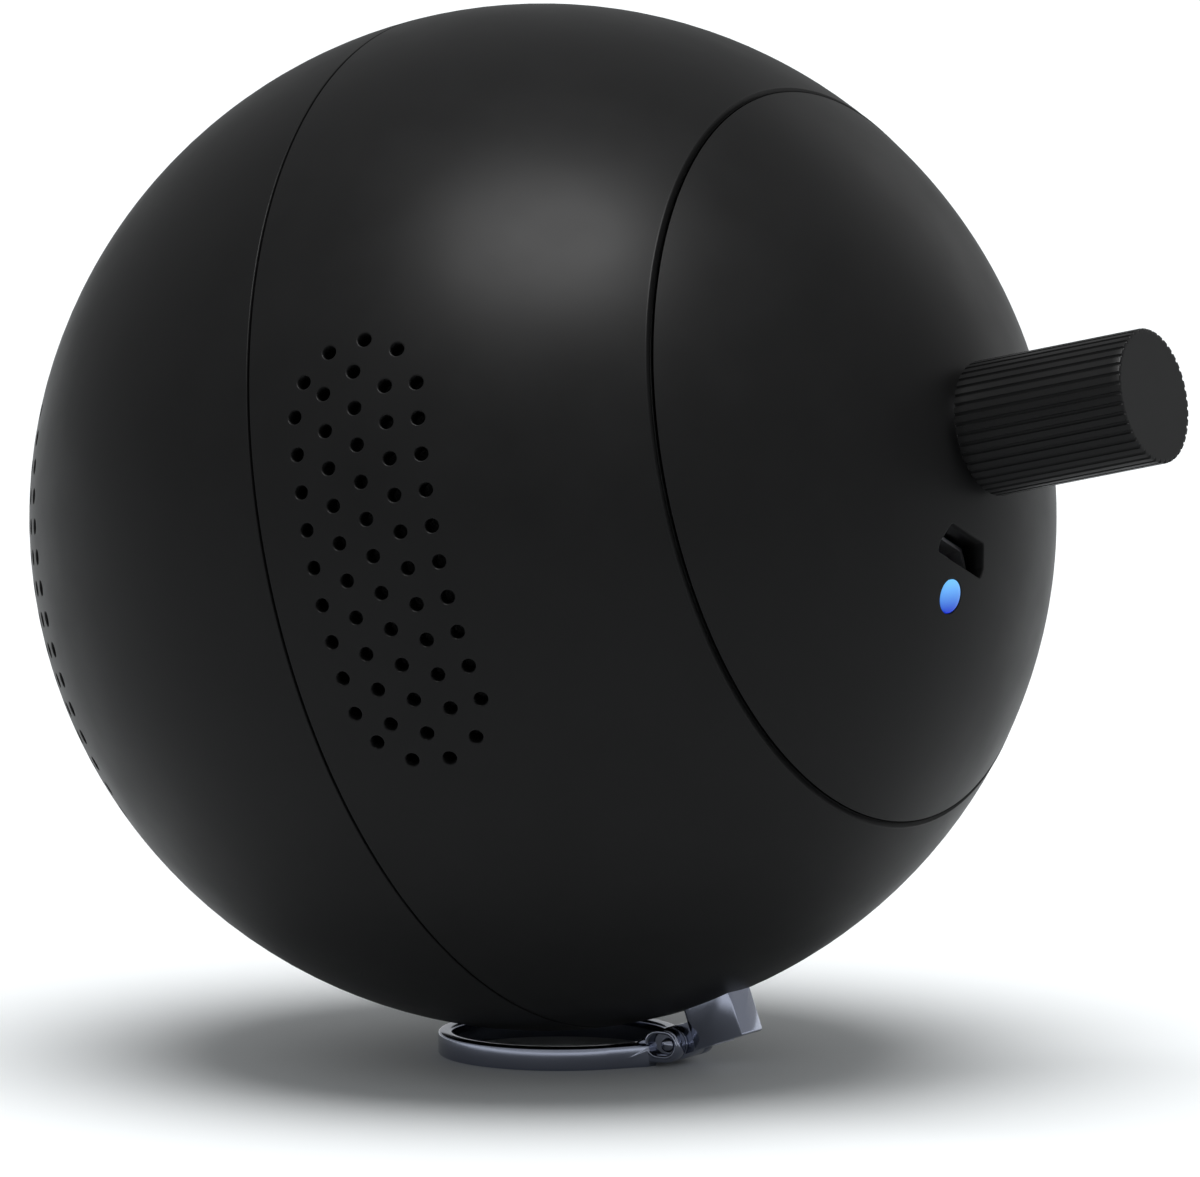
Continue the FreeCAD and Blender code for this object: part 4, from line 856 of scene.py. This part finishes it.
def ball_solid(radius, centre):
    """A whole ball, to shape what is seated on the speaker."""
    work = bmesh.new()
    bmesh.ops.create_uvsphere(work, u_segments=160, v_segments=96, radius=radius)
    bmesh.ops.translate(work, verts=work.verts, vec=centre)
    mesh = bpy.data.meshes.new("shaping")
    work.to_mesh(mesh)
    work.free()
    thing = bpy.data.objects.new("shaping", mesh)
    bpy.context.scene.collection.objects.link(thing)
    return thing


def make_bracket():
    """The hinge bracket: a knuckle round the pin and a faceted block seated on the ball."""
    slope = math.radians(19.5)
    run, rise = math.cos(slope), math.sin(slope)
    start = Vector((FLOOR_PLACE + 17.3, 1.7))
    long_way, deep_way = Vector((run, rise)), Vector((-rise, run))
    block_long, block_deep, web_long, half = 5.3, 7.5, 4.2, 2.0
    end = start + long_way * block_long
    deep = deep_way * block_deep
    block = prism([tuple(start), tuple(end), tuple(end + deep), tuple(start + deep)],
                  -half, 2 * half)
    bevelled(block, 0.22)
    knuckle = prism(arc_points((PIN.y, PIN.z), EAR_RADIUS, 0, 345, 46), -half, 2 * half)
    bevelled(knuckle, 0.14, 50)
    low = Vector((PIN.y, PIN.z)) - deep_way * 1.25
    high = Vector((PIN.y, PIN.z)) + deep_way * 1.5
    along = long_way * web_long
    inset = 0.12
    web = prism([tuple(low), tuple(low + along), tuple(high + along), tuple(high)],
                -half + inset, 2 * half - 2 * inset)
    combined(block, knuckle, "UNION")
    combined(block, web, "UNION")
    combined(block, ball_solid(BALL + 0.02, CENTRE / MM), "DIFFERENCE")
    bore = prism(arc_points((PIN.y, PIN.z), 0.75, 0, 345, 30), -half - 1, 2 * half + 2)
    combined(block, bore, "DIFFERENCE")
    finished(block, "hinge_bracket_chrome", "housing", "chrome", ["hinge_bracket"])


# ---------------------------------------------------------------- carried-over CAD nodes
def dress_nodes():
    """Give every CAD node the material of its slot."""
    slots = {part["node"]: part["material_slot"] for part in frame["record"]["subparts"]}
    for name, node in frame["nodes"].items():
        for place in node.material_slots:
            place.material = MATERIALS[slots[name]]


# ---------------------------------------------------------------- studio
def make_floor():
    """A plain pale floor."""
    bpy.ops.mesh.primitive_plane_add(size=12.0, location=(0, 0, 0))
    floor = bpy.context.object
    floor.name = "studio_floor"
    material, nodes, links = node_material("studio_floor")
    shader = nodes["Principled BSDF"]
    vector = place_coordinates(nodes, links, 0.01)
    cloud = noise(nodes, links, vector, 1.0, 2.0)
    links.new(blend_colours(nodes, links, cloud, (0.80, 0.82, 0.83), (0.83, 0.85, 0.86)),
              shader.inputs["Base Color"])
    shader.inputs["Roughness"].default_value = 0.6
    shader.inputs["Specular IOR Level"].default_value = 0.3
    floor.data.materials.append(material)


def area_light(name, place, width, height, power):
    """A soft light aimed at the ball, seen in reflections only."""
    light = bpy.data.lights.new(name, "AREA")
    light.shape = "RECTANGLE"
    light.size = width
    light.size_y = height
    light.energy = power
    thing = bpy.data.objects.new(name, light)
    thing.location = place
    thing.rotation_euler = (CENTRE - place).to_track_quat("-Z", "Y").to_euler()
    thing.visible_diffuse = False
    bpy.context.scene.collection.objects.link(thing)


CAMERA_TURN, CAMERA_RISE = math.radians(119.7), math.radians(7.2)
CAMERA_AWAY, CAMERA_VIEW = 40, 2.33645
CAMERA_SHIFT = (0.0475, -0.05958)
TO_CAMERA = Vector((math.sin(CAMERA_TURN) * math.cos(CAMERA_RISE),
                    -math.cos(CAMERA_TURN) * math.cos(CAMERA_RISE), math.sin(CAMERA_RISE)))
CAMERA_RIGHT = Vector((math.cos(CAMERA_TURN), math.sin(CAMERA_TURN), 0))
CAMERA_UP = TO_CAMERA.cross(CAMERA_RIGHT)


def from_camera(right, up, near):
    """A place given in ball radii from the ball's centre, along the camera's own directions."""
    return CENTRE + (CAMERA_RIGHT * right + CAMERA_UP * up + TO_CAMERA * near) * BALL * MM


def make_camera():
    """A long lens on the knob's side. Its distance and its view's width are in ball radii."""
    data = bpy.data.cameras.new("camera")
    data.sensor_width = 36.0
    distance = CAMERA_AWAY * BALL * MM
    data.lens = data.sensor_width * CAMERA_AWAY / CAMERA_VIEW
    data.shift_x, data.shift_y = CAMERA_SHIFT
    data.clip_end = 50
    camera = bpy.data.objects.new("camera", data)
    camera.location = CENTRE + TO_CAMERA * distance
    turn = Matrix((CAMERA_RIGHT, CAMERA_UP, TO_CAMERA)).transposed()
    camera.rotation_euler = turn.to_euler()
    bpy.context.scene.collection.objects.link(camera)
    bpy.context.scene.camera = camera


def make_world():
    """A dim even room for the object's light, and a bright plain backdrop for the camera."""
    world = bpy.data.worlds.new("studio")
    world.use_nodes = True
    nodes, links = world.node_tree.nodes, world.node_tree.links
    room = nodes["Background"]
    room.inputs["Color"].default_value = (0.97, 0.99, 1.0, 1)
    room.inputs["Strength"].default_value = 0.45
    backdrop = nodes.new("ShaderNodeBackground")
    backdrop.inputs["Color"].default_value = (0.985, 0.99, 0.988, 1)
    backdrop.inputs["Strength"].default_value = 1.0
    path = nodes.new("ShaderNodeLightPath")
    choice = nodes.new("ShaderNodeMixShader")
    links.new(path.outputs["Is Camera Ray"], choice.inputs["Fac"])
    links.new(room.outputs["Background"], choice.inputs[1])
    links.new(backdrop.outputs["Background"], choice.inputs[2])
    links.new(choice.outputs["Shader"], nodes["World Output"].inputs["Surface"])
    bpy.context.scene.world = world
    bpy.context.scene.view_settings.view_transform = "Standard"


def make_lights():
    """Two softboxes that make the highlights, and a broad overhead light that makes the shadow."""
    area_light("key_softbox", from_camera(0.1, 5.0, 3.0), 0.16, 0.12, 2.0)
    area_light("rim_softbox", from_camera(5.2, 3.5, -5.0), 0.2, 0.25, 0.12)
    data = bpy.data.lights.new("overhead", "SUN")
    data.energy = 3.25
    data.angle = math.radians(48)
    overhead = bpy.data.objects.new("overhead", data)
    overhead.location = (0, 0, 1)
    overhead.visible_glossy = False
    bpy.context.scene.collection.objects.link(overhead)


dress_nodes()
make_front_shell()
make_mid_shell()
make_rear_cap()
make_knob()
make_light()
make_ring()
make_pin()
make_bracket()
make_floor()
make_world()
make_lights()
make_camera()
